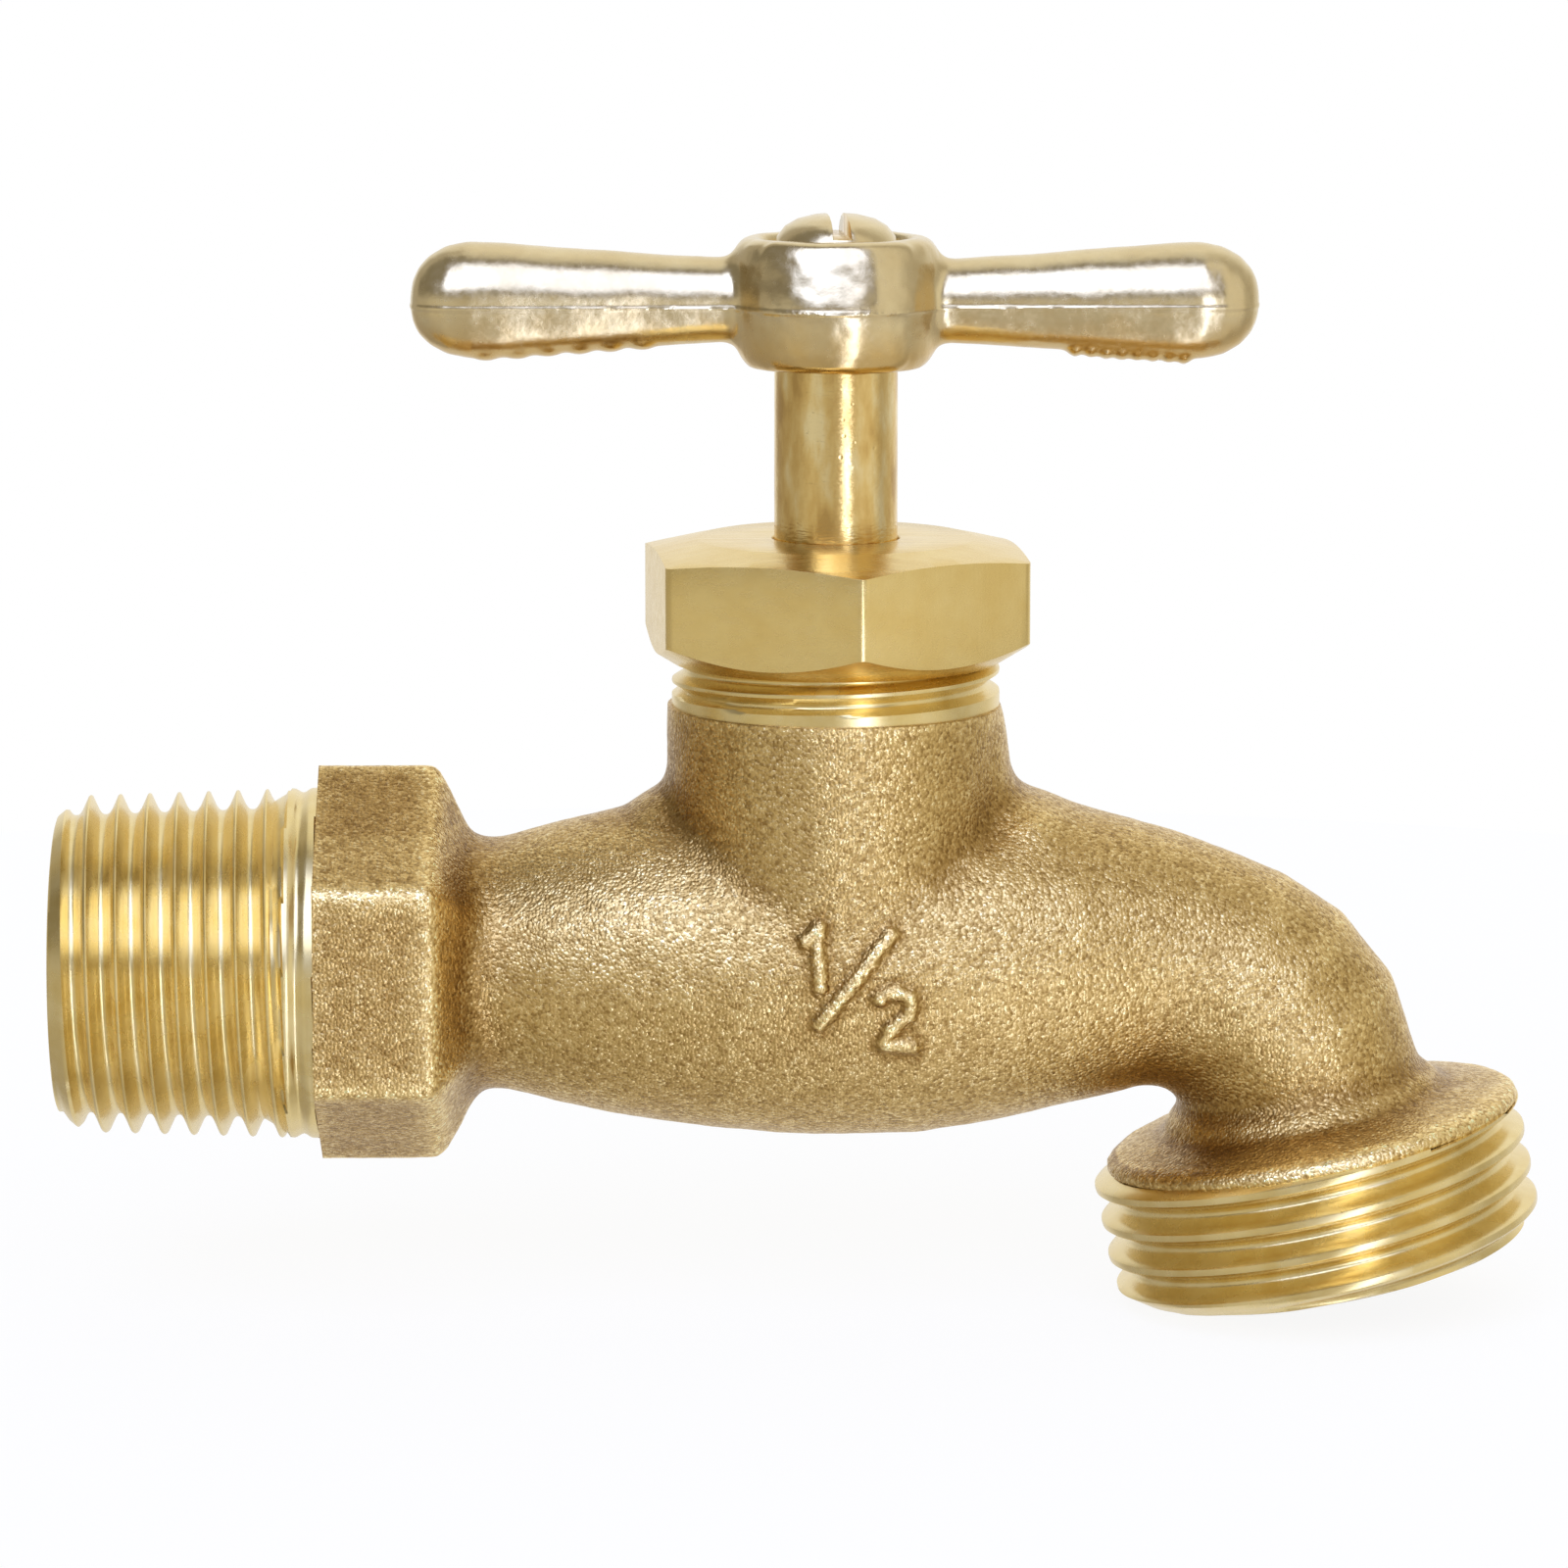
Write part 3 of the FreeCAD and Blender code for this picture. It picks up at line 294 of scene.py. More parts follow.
# The lathe squares off what the threads are cut on: the hexagon's face, the neck's rim
# and the underside of the flange.
along_inlet = Matrix.Rotation(pi / 2, 4, "Y")
turn_out(casting, "inlet_facing", [(0, 10), (15, 10), (15, 16.2), (0, 16.2)], along_inlet)
turn_out(casting, "neck_facing", [(0, 16.16), (10, 16.16), (12, 16.0), (12, 20), (0, 20)], to_stem)
turn_out(
    casting, "outlet_facing", [(0, 5), (15, 5), (15, 8.3), (12.6, 8.3), (12.2, 8.55), (0, 8.55)], to_outlet)

# Waterway: the bored inlet, the chambers on both sides of the seat, and the way down.
INLET_BORE, GUIDE_BORE, CHANNEL_BORE, SPOUT_BORE, MOUTH_BORE = 6.5, 6.95, 2.67, 5.5, 8.4
turn_out(casting, "inlet_bore", [(0, 10), (INLET_BORE, 10), (INLET_BORE, 37.6), (0, 37.6)], along_inlet)
turn_out(casting, "chamber", [
    (0, -8.65), (4.0, -8.65), (6.0, -6.45), (6.0, -2.5), (4.8, -2.5), (4.8, 0.6), (6.0, 0.6), (6.0, -0.2),
    (8.3, -0.2), (8.3, 8.2), (GUIDE_BORE, 8.2), (GUIDE_BORE, 18), (0, 18)], to_stem, steps=64)
shell = bmesh.new()
loft(shell, [(Vector((along, 0, -5.37)), pi / 2, CHANNEL_BORE) for along in (34.1, STEM_AXIS)], 40)
cut(casting, settle(shell, "channel"))
shell = bmesh.new()
way = [(Vector((STEM_AXIS + 3, 0, 3.2)), pi / 2, 3.6), (Vector((STEM_AXIS + 10, 0, 1.8)), pi / 2, 4.6)]
for turn in range(0, 80, 13):
    turn = radians(turn)
    way.append((BEND_CENTRE + 11.1 * Vector((sin(turn), 0, cos(turn))), pi / 2 + turn, SPOUT_BORE))
way.append((to_outlet @ Vector((0, 0, -1)), pi - SPOUT_TURN, SPOUT_BORE))
loft(shell, way, 56)
cut(casting, settle(shell, "spout_way"))
turn_out(casting, "mouth_flare", [(0, 4), (MOUTH_BORE, 4), (MOUTH_BORE, 6.5), (5.4, 9.5), (0, 9.5)], to_outlet)
smooth_by_angle(casting, 50)


def add(tree, kind, inputs=(), **settings):
    """One shader node, with its settings, and its inputs given as values or as other nodes' outputs."""
    made = tree.nodes.new("ShaderNode" + kind)
    for name, value in settings.items():
        setattr(made, name, value)
    for name, value in dict(inputs).items():
        if isinstance(value, bpy.types.NodeSocket):
            tree.links.new(value, made.inputs[name])
        else:
            made.inputs[name].default_value = value
    return made


def ramp(tree, value, stops):
    """A blend of colours or greys along a value."""
    made = add(tree, "ValToRGB", {"Fac": value})
    band = made.color_ramp
    while len(band.elements) < len(stops):
        band.elements.new(0.5)
    for element, (place, colour) in zip(band.elements, stops):
        element.position = place
        element.color = (*colour, 1) if isinstance(colour, tuple) else (colour, colour, colour, 1)
    return made.outputs["Color"]


def grain(tree, size, detail=2, roughness=0.5, stretch=(1, 1, 1), turn=(0, 0, 0)):
    """Noise over the piece, with features of about a size in millimetres."""
    place = add(tree, "Mapping", {
        "Vector": add(tree, "TexCoord").outputs["Object"], "Scale": stretch, "Rotation": turn})
    return add(tree, "TexNoise", {
        "Vector": place.outputs["Vector"], "Scale": 1000 / size, "Detail": detail,
        "Roughness": roughness}).outputs["Fac"]


def mix(tree, share, one, other):
    """A blend of two greys, with a share of the second."""
    return add(tree, "Mix", {0: share, 2: one, 3: other}, data_type="FLOAT").outputs[0]


def reckon(tree, operation, *values):
    """What a sum comes to, on one or two values."""
    return add(tree, "Math", dict(enumerate(values)), operation=operation).outputs[0]


def metal(name, paint):
    """A metal whose colour, roughness and relief come from a paint function, relief as (height, metres)."""
    made = bpy.data.materials.new(name)
    made.use_nodes = True
    tree = made.node_tree
    skin = tree.nodes["Principled BSDF"]
    skin.inputs["Metallic"].default_value = 1
    colour, roughness, (height, depth) = paint(tree)
    relief = add(tree, "Bump", {"Height": height, "Distance": depth, "Strength": 1.0})
    tree.links.new(colour, skin.inputs["Base Color"])
    tree.links.new(roughness, skin.inputs["Roughness"])
    tree.links.new(relief.outputs["Normal"], skin.inputs["Normal"])
    return made


def cells(tree, size, output="Distance"):
    """Close-set cells over the piece, of about a size in millimetres."""
    return add(tree, "TexVoronoi", {
        "Vector": add(tree, "TexCoord").outputs["Object"], "Scale": 1000 / size}).outputs[output]


def sand_cast(tree):
    """Sand-cast skin: close round grains, the high ones rubbed bright, over soft brown; darker in hollows as
    patina and painted shade, lighter on edges as wear and painted highlight.
    """
    grains = cells(tree, 0.21)
    pick = add(tree, "SeparateColor", {0: cells(tree, 0.21, "Color")}).outputs[0]
    fine = grain(tree, 0.2, detail=2)
    height = mix(tree, 0.45, reckon(tree, "SUBTRACT", 1.0, grains), fine)
    patch = mix(tree, 0.55, pick, fine)
    skin = ramp(tree, patch, [
        (0.25, (0.36, 0.215, 0.063)), (0.40, (0.53, 0.345, 0.114)), (0.53, (0.625, 0.42, 0.148)),
        (0.66, (0.705, 0.495, 0.193)), (0.78, (0.87, 0.67, 0.325))])
    # The stored value darkens the skin where it is high, as patina and painted shade, and lightens and pales it
    # where it is low, as rubbed wear and painted highlight.
    wear_and_painted_light = add(tree, "Attribute", attribute_name="patina_wear_and_painted_light").outputs["Fac"]
    wear_and_painted_light = add(tree, "MapRange", {0: wear_and_painted_light, 1: -0.5, 2: 0.5}).outputs[0]
    patina_and_painted_light_tint = ramp(tree, wear_and_painted_light, [
        (0.1, (1.5, 1.65, 2.0)), (0.38, (1.35, 1.45, 1.65)), (0.455, (1.04, 1.05, 1.06)),
        (0.5, (0.97, 0.96, 0.94)), (0.56, (0.78, 0.72, 0.63)), (0.62, (0.64, 0.56, 0.45)),
        (0.75, (0.5, 0.42, 0.3))])
    colour = add(
        tree, "Mix", {0: 1.0, 6: skin, 7: patina_and_painted_light_tint}, data_type="RGBA", blend_type="MULTIPLY",
        clamp_result=True).outputs[2]
    return colour, ramp(tree, patch, [(0.45, 0.38), (0.64, 0.27)]), (height, 0.00009)


casting.data.materials.clear()
casting.data.materials.append(metal("sand_cast_brass", sand_cast))
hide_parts("body")
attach(casting, "tap_body")

# Inlet pipe thread. Turned on the casting's left end in one pass of a threading chaser:
# a taper thread, sharp at its crests and round at its roots, which runs out at a plain
# land before the hexagon.


def screw(shell, radius, pitch, depth, crest, length, tooth, steps=120):
    """A right-hand thread about Z from below 0 to past a length. Tooth pairs give how far through the
    pitch and how deep; a crest passes over the X axis at the height named."""
    turns = int(length / pitch) + 4
    start = crest - pitch * (int(crest / pitch) + 2)
    line = [
        shell.verts.new((radius - depth * deep, 0, start + pitch * (turn + share)))
        for turn in range(turns) for share, deep in tooth]
    edges = [shell.edges.new(pair) for pair in zip(line, line[1:])]
    bmesh.ops.spin(
        shell, geom=line + edges, cent=(0, 0, 0), axis=(0, 0, 1), dvec=(0, 0, pitch / steps),
        angle=tau, steps=steps, use_merge=False)
    bmesh.ops.remove_doubles(shell, verts=shell.verts, dist=0.0008)


def trim(shell, low, high):
    """Cuts a threaded sleeve square at two heights."""
    for height, way in ((low, -1), (high, 1)):
        everything = list(shell.verts) + list(shell.edges) + list(shell.faces)
        bmesh.ops.bisect_plane(
            shell, geom=everything, plane_co=(0, 0, height), plane_no=(0, 0, way), clear_outer=True)


def line_sleeve(shell, low, high, inner, foot):
    """Turns the two ends of a threaded sleeve inwards and joins them by its bore."""
    inside = []
    for height, radii in ((low, foot), (high, [(inner, high)])):
        edges = [
            edge for edge in shell.edges
            if edge.is_boundary and all(abs(vert.co.z - height) < 0.002 for vert in edge.verts)]
        for radius, level in radii:
            drawn = bmesh.ops.extrude_edge_only(shell, edges=edges)["geom"]
            for vert in (part for part in drawn if isinstance(part, bmesh.types.BMVert)):
                around = atan2(vert.co.y, vert.co.x)
                vert.co = (radius * cos(around), radius * sin(around), level)
            edges = [part for part in drawn if isinstance(part, bmesh.types.BMEdge)]
        inside += edges
    bmesh.ops.bridge_loops(shell, edges=inside)


def turn_down(shell, shape):
    """Sets how far each point is from the axis, by a shape that takes its distance and its height."""
    for vert in shell.verts:
        around, height = atan2(vert.co.y, vert.co.x), vert.co.z
        radius = shape(hypot(vert.co.x, vert.co.y), height)
        vert.co = (radius * cos(around), radius * sin(around), height)


PIPE_TOOTH = [
    (0.0, 0.0), (0.05, 0.04), (0.16, 0.4), (0.26, 0.72), (0.35, 0.91), (0.43, 0.99), (0.5, 1.0),
    (0.57, 0.99), (0.65, 0.91), (0.74, 0.72), (0.84, 0.4), (0.95, 0.04)]
PIPE_RADIUS, PIPE_PITCH, PIPE_DEPTH, PIPE_CREST = 10.36, 1.8143, 1.22, 2.086 - 0.907
PIPE_FOOT, PIPE_LENGTH, LAND_END = 0.1, 14.6, 16.4
TAPER = 1 / 32


def inlet_shape(radius, height):
    """Adds the taper, the run-out, the groove of the land, the chamfer and the step at the hexagon."""
    full = PIPE_RADIUS + height * TAPER
    runout = clamp((height - 12.6) / 1.6)
    floor = full - PIPE_DEPTH * (1 - runout * 0.75) if height < 14.3 else full - 0.02
    radius = max(radius + height * TAPER, floor)
    if height > PIPE_LENGTH:
        radius = full - 0.03 - 0.26 * sin(pi * min(1, (height - PIPE_LENGTH) / 1.15)) ** 2
    radius = min(radius, 9.1 + height * 0.82)
    return min(radius, 10.5) if height > 16.25 else radius


shell = bmesh.new()
screw(shell, PIPE_RADIUS, PIPE_PITCH, PIPE_DEPTH, PIPE_CREST, LAND_END + 1, PIPE_TOOTH)
trim(shell, PIPE_FOOT, LAND_END)
turn_down(shell, inlet_shape)
line_sleeve(
    shell, PIPE_FOOT, LAND_END, INLET_BORE, [(8.95, 0.03), (8.7, 0), (6.95, 0), (INLET_BORE, 0.45)])
bmesh.ops.rotate(shell, cent=(0, 0, 0), matrix=Matrix.Rotation(pi / 2, 3, "Y"), verts=shell.verts)
inlet_thread = settle(shell, "inlet_thread")
smooth_by_angle(inlet_thread, 38)
ROUND_X, ROUND_Z = (1, 0.02, 0.02), (0.02, 0.02, 1)


def turned(stretch, turn=(0, 0, 0), dullest=0.32):
    """Bright turned brass, with the fine rings of the tool, stretched round an axis."""

    def paint(tree):
        rings = grain(tree, 0.09, stretch=stretch, turn=turn)
        cloud = grain(tree, 2.0, detail=4)
        colour = ramp(tree, cloud, [(0.35, (0.79, 0.61, 0.255)), (0.65, (0.87, 0.71, 0.355))])
        return colour, ramp(tree, cloud, [(0.3, 0.22), (0.7, dullest)]), (rings, 0.000006)

    return paint


inlet_thread.data.materials.append(metal("turned_brass_inlet", turned(ROUND_X)))
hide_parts("body")
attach(inlet_thread, "tap_body")

# Hose thread. Turned below the cast flange on the spout's own tilted axis: four coarse
# crests of a garden hose thread, rounded, with a chamfer at the mouth.
HOSE_TOOTH = [
    (0.0, 0.0), (0.09, 0.02), (0.15, 0.13), (0.24, 0.46), (0.33, 0.8), (0.4, 0.95), (0.5, 1.0),
    (0.6, 0.95), (0.67, 0.8), (0.76, 0.46), (0.85, 0.13), (0.91, 0.02)]
HOSE_RADIUS, HOSE_PITCH, HOSE_DEPTH, HOSE_CREST, HOSE_TOP = 13.46, 2.2087, 1.35, 1.93, 9.1


def hose_shape(radius, height):
    """Adds the chamfer at the mouth, and the step in under the flange."""
    radius = min(radius, 11.3 + height * 4.6, 11.85 + height * 1.4, HOSE_RADIUS)
    if height > 8.4:
        radius = min(radius, 12.2 if height < 8.7 else 11.2)
    return radius


shell = bmesh.new()
screw(shell, HOSE_RADIUS, HOSE_PITCH, HOSE_DEPTH, HOSE_CREST, HOSE_TOP + 1, HOSE_TOOTH, steps=144)
trim(shell, 0, HOSE_TOP)
turn_down(shell, hose_shape)
line_sleeve(shell, 0, HOSE_TOP, MOUTH_BORE, [(11.1, 0.0), (8.75, 0.0), (MOUTH_BORE, 0.35)])
bmesh.ops.transform(shell, matrix=to_outlet, verts=shell.verts)
hose_thread = settle(shell, "hose_thread")
smooth_by_angle(hose_thread, 38)
hose_thread.data.materials.append(
    metal("turned_brass_hose", turned(ROUND_Z, turn=(0, SPOUT_TURN, 0), dullest=0.3)))
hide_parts("body")
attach(hose_thread, "tap_body")

# Neck collar. The top of the neck is skimmed round and threaded for the packing nut; a
# plain bright band is left where the cutter stopped at the casting.
NECK_TOOTH = [
    (0.0, 0.0), (0.08, 0.03), (0.2, 0.4), (0.32, 0.8), (0.42, 0.97), (0.5, 1.0), (0.58, 0.97),
    (0.68, 0.8), (0.8, 0.4), (0.92, 0.03)]
COLLAR_RADIUS, NECK_PITCH, NECK_DEPTH, NECK_CREST = 10.08, 1.41, 0.72, 16.975
COLLAR_FOOT, COLLAR_TOP = 15.6, 21


def neck_shape(radius, height):
    """Fills the thread up to a plain band at its foot."""
    if height < 17.05:
        radius = max(radius, COLLAR_RADIUS - NECK_DEPTH * max(0, (height - 16.9) / 0.15))
    return radius


shell = bmesh.new()
screw(shell, COLLAR_RADIUS, NECK_PITCH, NECK_DEPTH, NECK_CREST, COLLAR_TOP + 3, NECK_TOOTH)
trim(shell, COLLAR_FOOT, COLLAR_TOP)
turn_down(shell, neck_shape)
line_sleeve(shell, COLLAR_FOOT, COLLAR_TOP, GUIDE_BORE, [(GUIDE_BORE, COLLAR_FOOT)])
bmesh.ops.transform(shell, matrix=to_stem, verts=shell.verts)
neck_thread = settle(shell, "neck_thread")
smooth_by_angle(neck_thread, 38)
neck_thread.data.materials.append(metal("turned_brass_neck", turned(ROUND_Z)))
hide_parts("body")
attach(neck_thread, "tap_body")

# Packing nut. Milled from hexagon bar: flats with fine cross scratches, a domed chamfer
# on top, a cone below, a bore for the stem and a threaded room for the packing.
NUT_CORNER, NUT_TURN = 22.3 / 3 ** 0.5, radians(5.9)
NUT_FOOT, NUT_HEIGHT = 18.9, 7.55
NUT_BARREL = [
    (0, NUT_FOOT), (10.1, NUT_FOOT), (13.3, 20.87), (13.3, 25.25), (12.87, 25.44), (11.2, 25.83),
    (10.0, 26.12), (8.6, 26.42), (8.5, 26.45), (0, 26.45)]
NUT_BORE = [
    (0, 18), (9.6, 18), (9.6, 19.05), (9.43, 19.25), (9.43, 22.2), (7.25, 22.2), (7.25, 24.55),
    (3.88, 24.55), (3.88, 26.3), (4.05, 26.6), (0, 26.6)]


def round_edges(piece, width, segments, angle):
    """Breaks a piece's edges sharper than an angle in degrees, by a width in metres."""
    eased = piece.modifiers.new("eased", "BEVEL")
    eased.width = width
    eased.segments = segments
    eased.limit_method = "ANGLE"
    eased.angle_limit = radians(angle)
    fix_modifiers(piece)


shell = bmesh.new()
ring = bmesh.ops.create_circle(
    shell, cap_ends=True, radius=NUT_CORNER, segments=6,
    matrix=to_stem @ Matrix.Rotation(NUT_TURN, 4, "Z") @ Matrix.Translation((0, 0, NUT_FOOT)))["verts"]
face, corners = draw_on(shell, ring[0].link_faces[0])
bmesh.ops.translate(shell, vec=(0, 0, NUT_HEIGHT), verts=corners)
upright = [edge for edge in shell.edges if abs(edge.verts[0].co.z - edge.verts[1].co.z) > 1]
bmesh.ops.bevel(shell, geom=upright, affect="EDGES", offset=0.42, segments=4, profile=0.5, material=-1)
packing_nut = settle(shell, "packing_nut_milled")
shell = bmesh.new()
lathe(shell, NUT_BARREL, to_stem, steps=180)
cut(packing_nut, settle(shell, "barrel"), operation="INTERSECT", solver="EXACT")
turn_out(packing_nut, "nut_bore", NUT_BORE, to_stem)
round_edges(packing_nut, 0.00014, 3, 30)
smooth_by_angle(packing_nut, 32)


def milled(tree):
    """Satin bar brass with fine slanting scratches and a few pinholes."""
    scratches = grain(tree, 0.5, detail=4, stretch=(0.06, 1, 1), turn=(0.3, 0.7, 0.4))
    cross = grain(tree, 0.3, detail=3, stretch=(1, 1, 0.08), turn=(0.6, -0.9, 0.2))
    speckle = grain(tree, 0.14, detail=1)
    height = mix(tree, 0.4, mix(tree, 0.5, scratches, cross), speckle)
    colour = ramp(tree, grain(tree, 2.0, detail=4), [(0.3, (0.79, 0.585, 0.22)), (0.7, (0.84, 0.65, 0.275))])
    return colour, ramp(tree, scratches, [(0.3, 0.3), (0.7, 0.22)]), (height, 0.000012)


packing_nut.data.materials.clear()
packing_nut.data.materials.append(metal("milled_brass", milled))
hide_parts("packing_nut")
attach(packing_nut, "tap_body")

# Stem. Turned from brass rod: washer cup and disc at its foot, a coarse lifting thread,
# the polished shank and the square that drives it.
SHANK_RADIUS, LIFT_FOOT, LIFT_TOP = 3.78, 9.0, 14.4
shell = bmesh.new()
lathe(shell, [
    (0, 3.65), (5.9, 3.65), (5.9, 1.85), (6.4, 1.8), (6.5, 1.95), (6.5, 5.3), (6.4, 5.4), (4.4, 5.4),
    (4.4, LIFT_FOOT), (5.7, LIFT_FOOT), (5.7, LIFT_TOP), (SHANK_RADIUS, LIFT_TOP), (SHANK_RADIUS, 36.95),
    (2.65, 36.96), (2.65, 37.0), (0, 37.0)], to_stem)
bmesh.ops.create_cube(
    shell, size=1, matrix=to_stem @ Matrix.Translation((0, 0, 39.5)) @ Matrix.Diagonal((5.3, 5.3, 5.3, 1)))
stem = settle(shell, "stem_turned")

LIFT_TOOTH = [(0.0, 0.0), (0.19, 0.0), (0.3, 1.0), (0.5, 1.0), (0.7, 1.0), (0.81, 0.0)]
LIFT_RADIUS, LIFT_PITCH, LIFT_DEPTH, LIFT_CREST, LIFT_SLEEVE = 6.78, 2.54, 1.0, 7.73, 5.5
shell = bmesh.new()
screw(shell, LIFT_RADIUS, LIFT_PITCH, LIFT_DEPTH, LIFT_CREST, 17, LIFT_TOOTH, steps=72)
trim(shell, LIFT_FOOT, LIFT_TOP)
line_sleeve(shell, LIFT_FOOT, LIFT_TOP, LIFT_SLEEVE, [(LIFT_SLEEVE, LIFT_FOOT)])
bmesh.ops.transform(shell, matrix=to_stem, verts=shell.verts)
lift_thread = settle(shell, "lift_thread")


def worn_rod(tree):
    """Handled brass rod: broken ring marks, small dents and dull patches."""
    rings = grain(tree, 0.16, detail=3, stretch=(0.3, 0.3, 1))
    dents = cells(tree, 0.9)
    patches = grain(tree, 1.6, detail=5, stretch=(1, 1, 0.35))
    pits = ramp(tree, dents, [(0.05, 0.0), (0.16, 1.0)])
    height = mix(tree, 0.35, rings, pits)
    colour = ramp(tree, patches, [
        (0.36, (0.56, 0.36, 0.12)), (0.46, (0.7, 0.48, 0.17)), (0.54, (0.78, 0.57, 0.23)),
        (0.66, (0.87, 0.72, 0.4))])
    return colour, ramp(tree, patches, [(0.4, 0.22), (0.6, 0.14)]), (height, 0.00003)


brass_stem = metal("turned_brass_stem", worn_rod)
for piece in (stem, lift_thread):
    smooth_by_angle(piece, 30)
    piece.data.materials.append(brass_stem)
    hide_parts("stem")
    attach(piece, "turning_stem")

# Small pieces inside. They keep their CAD shape: the pressed rubber seat washer and its
# brass screw in the stem's cup, and the packing with its brass washer under the nut.


def pressed_rubber(tree):
    """Black rubber, faintly mottled, with the fine stipple of its mould."""
    stipple = grain(tree, 0.12, detail=3)
    return (
        ramp(tree, grain(tree, 1.2, detail=4), [(0.35, (0.018, 0.017, 0.016)), (0.65, (0.036, 0.034, 0.032))]),
        ramp(tree, stipple, [(0.3, 0.55), (0.7, 0.72)]), (stipple, 0.00002))


def greased_packing(tree):
    """Pale plastic packing, rubbed by the stem and darkened by grease."""
    strands = grain(tree, 0.25, detail=3, stretch=(0.3, 0.3, 1))
    return (
        ramp(tree, grain(tree, 0.9, detail=5), [(0.35, (0.50, 0.46, 0.38)), (0.65, (0.74, 0.71, 0.64))]),
        ramp(tree, strands, [(0.3, 0.38), (0.7, 0.6)]), (strands, 0.00003))


FINISHES = {
    "seat_washer": metal("washer_rubber", pressed_rubber),
    "packing_ring": metal("packing_plastic", greased_packing),
    "seat_screw": metal("turned_brass_screw", turned(ROUND_Z)),
    "packing_washer": metal("turned_brass_washer", turned(ROUND_Z))}
for node, finish in FINISHES.items():
    if node in ("seat_washer", "packing_ring"):
        finish.node_tree.nodes["Principled BSDF"].inputs["Metallic"].default_value = 0
    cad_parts[node].material_slots[0].material = finish

# Handle. A die cast tee: a round hub dished for the screw and two oval arms that swell to
# round ends, with the die's parting line round the middle and grip ribs under both arms.
HUB_FOOT, HUB_TOP, HUB_DISH = 36.95, 44.9, 44.9 - 0.95
ARM_HEIGHT, PARTING = 41.0, 40.72
HUB = [
    (0, HUB_FOOT), (5.3, HUB_FOOT), (5.85, HUB_FOOT + 0.4), (6.05, HUB_FOOT + 1.1), (6.3, 40.6),
    (6.44, 40.75), (6.4, 41.6), (6.32, 42.8), (6.25, 43.9), (6.17, 44.4), (6.0, 44.78), (5.7, HUB_TOP),
    (4.6, HUB_TOP), (4.35, HUB_DISH), (0, HUB_DISH)]
ARM_SECTIONS = (
    (3.0, 2.62, 2.35), (6.0, 2.62, 2.3), (7.5, 2.6, 2.28), (12, 2.88, 2.5), (17, 3.25, 2.8),
    (20.5, 3.53, 3.0), (22.4, 3.57, 3.03), (23.7, 3.31, 2.78), (24.75, 2.72, 2.32), (25.42, 2.0, 1.72),
    (25.76, 1.22, 1.03), (25.88, 0.4, 0.35))
shell = bmesh.new()
lathe(shell, HUB, to_stem)
for way in (-1, 1):
    middle = Matrix.Translation((-0.06, 0, ARM_HEIGHT + (0.05, -0.03)[way > 0]))
    place = to_stem @ middle @ Matrix.Rotation(way * pi / 2, 4, "Y")
    spots = [
        place @ Matrix.Translation((0, 0, out)) @ Matrix.Diagonal((high, deep, 1, 1))
        for out, high, deep in ARM_SECTIONS]
    circle = bmesh.ops.create_circle(shell, cap_ends=True, radius=1, segments=56, matrix=spots[0])["verts"]
    face = circle[0].link_faces[0]
    for before, after in zip(spots, spots[1:]):
        face, corners = draw_on(shell, face)
        bmesh.ops.transform(shell, matrix=after @ before.inverted(), verts=corners)
    ribs, gap, first = ((6, 1.9, 11.9), (8, 0.95, 14.6))[way > 0]
    for rib in range(ribs):
        out = first + rib * gap
        drop = 2.62 + (out - 7.5) * 0.071
        bead = Matrix.Translation((STEM_AXIS + way * out, 0, ARM_HEIGHT - drop + 0.44 - way * 0.14))
        bmesh.ops.create_uvsphere(
            shell, u_segments=24, v_segments=14, radius=1,
            matrix=bead @ Matrix.Diagonal((gap * 0.6, 1.4, 0.66, 1)))
handle = settle(shell, "handle_tee")
fuse(handle, 0.00017)

# The arms flow into the hub, the skin is softly lumpy, the hub's front and back lean in
# above the parting line, and the line itself stands up a little on a slight bulge.
shell = bmesh.new()
shell.from_mesh(handle.data)
bmesh.ops.scale(shell, vec=(1000, 1000, 1000), verts=shell.verts)
joins = [
    vert for vert in shell.verts
    if abs(hypot(vert.co.x - STEM_AXIS, vert.co.y) - 6.4) < 1.0 and abs(vert.co.y) < 4.2]
ease(shell, joins, 60)
ease(shell, shell.verts, 8)
seam = [edge for edge in shell.edges if all(abs(vert.co.z - PARTING) < 0.5 for vert in edge.verts)]
bmesh.ops.subdivide_edges(shell, edges=seam, cuts=1, use_grid_fill=True)
shell.normal_update()
for vert in shell.verts:
    hub = hypot(vert.co.x - STEM_AXIS, vert.co.y) < 6.7 and vert.co.z < HUB_TOP - 0.3
    swell = noise.noise(vert.co / 3) * 0.05 + noise.noise(vert.co / 0.9) * (0.03 if hub else 0.009)
    vert.co += vert.normal * swell
    near_hub = clamp((7.6 - hypot(vert.co.x - STEM_AXIS, vert.co.y)) / 1.4)
    vert.co.y *= 1 - 0.027 * near_hub * max(0, vert.co.z - PARTING)
    if abs(vert.co.z - PARTING) < 0.4:
        outward = Vector((vert.normal.x, vert.normal.y, 0))
        vert.co += outward * 0.05 * max(0, 1 - (abs(vert.co.z - PARTING) / 0.2) ** 2)
    below = PARTING - vert.co.z
    if 0 < below < 1:
        inner = clamp((20 - abs(vert.co.x - STEM_AXIS)) / 10)
        vert.co.y += (vert.normal.y > 0 or -1) * 0.04 * inner * (1 - below) ** 2
bmesh.ops.scale(shell, vec=(0.001, 0.001, 0.001), verts=shell.verts)
shell.to_mesh(handle.data)
shell.free()
turn_out(handle, "screw_way", [(0, 36), (2.2, 36), (2.2, 46), (0, 46)], to_stem, steps=48)
shell = bmesh.new()
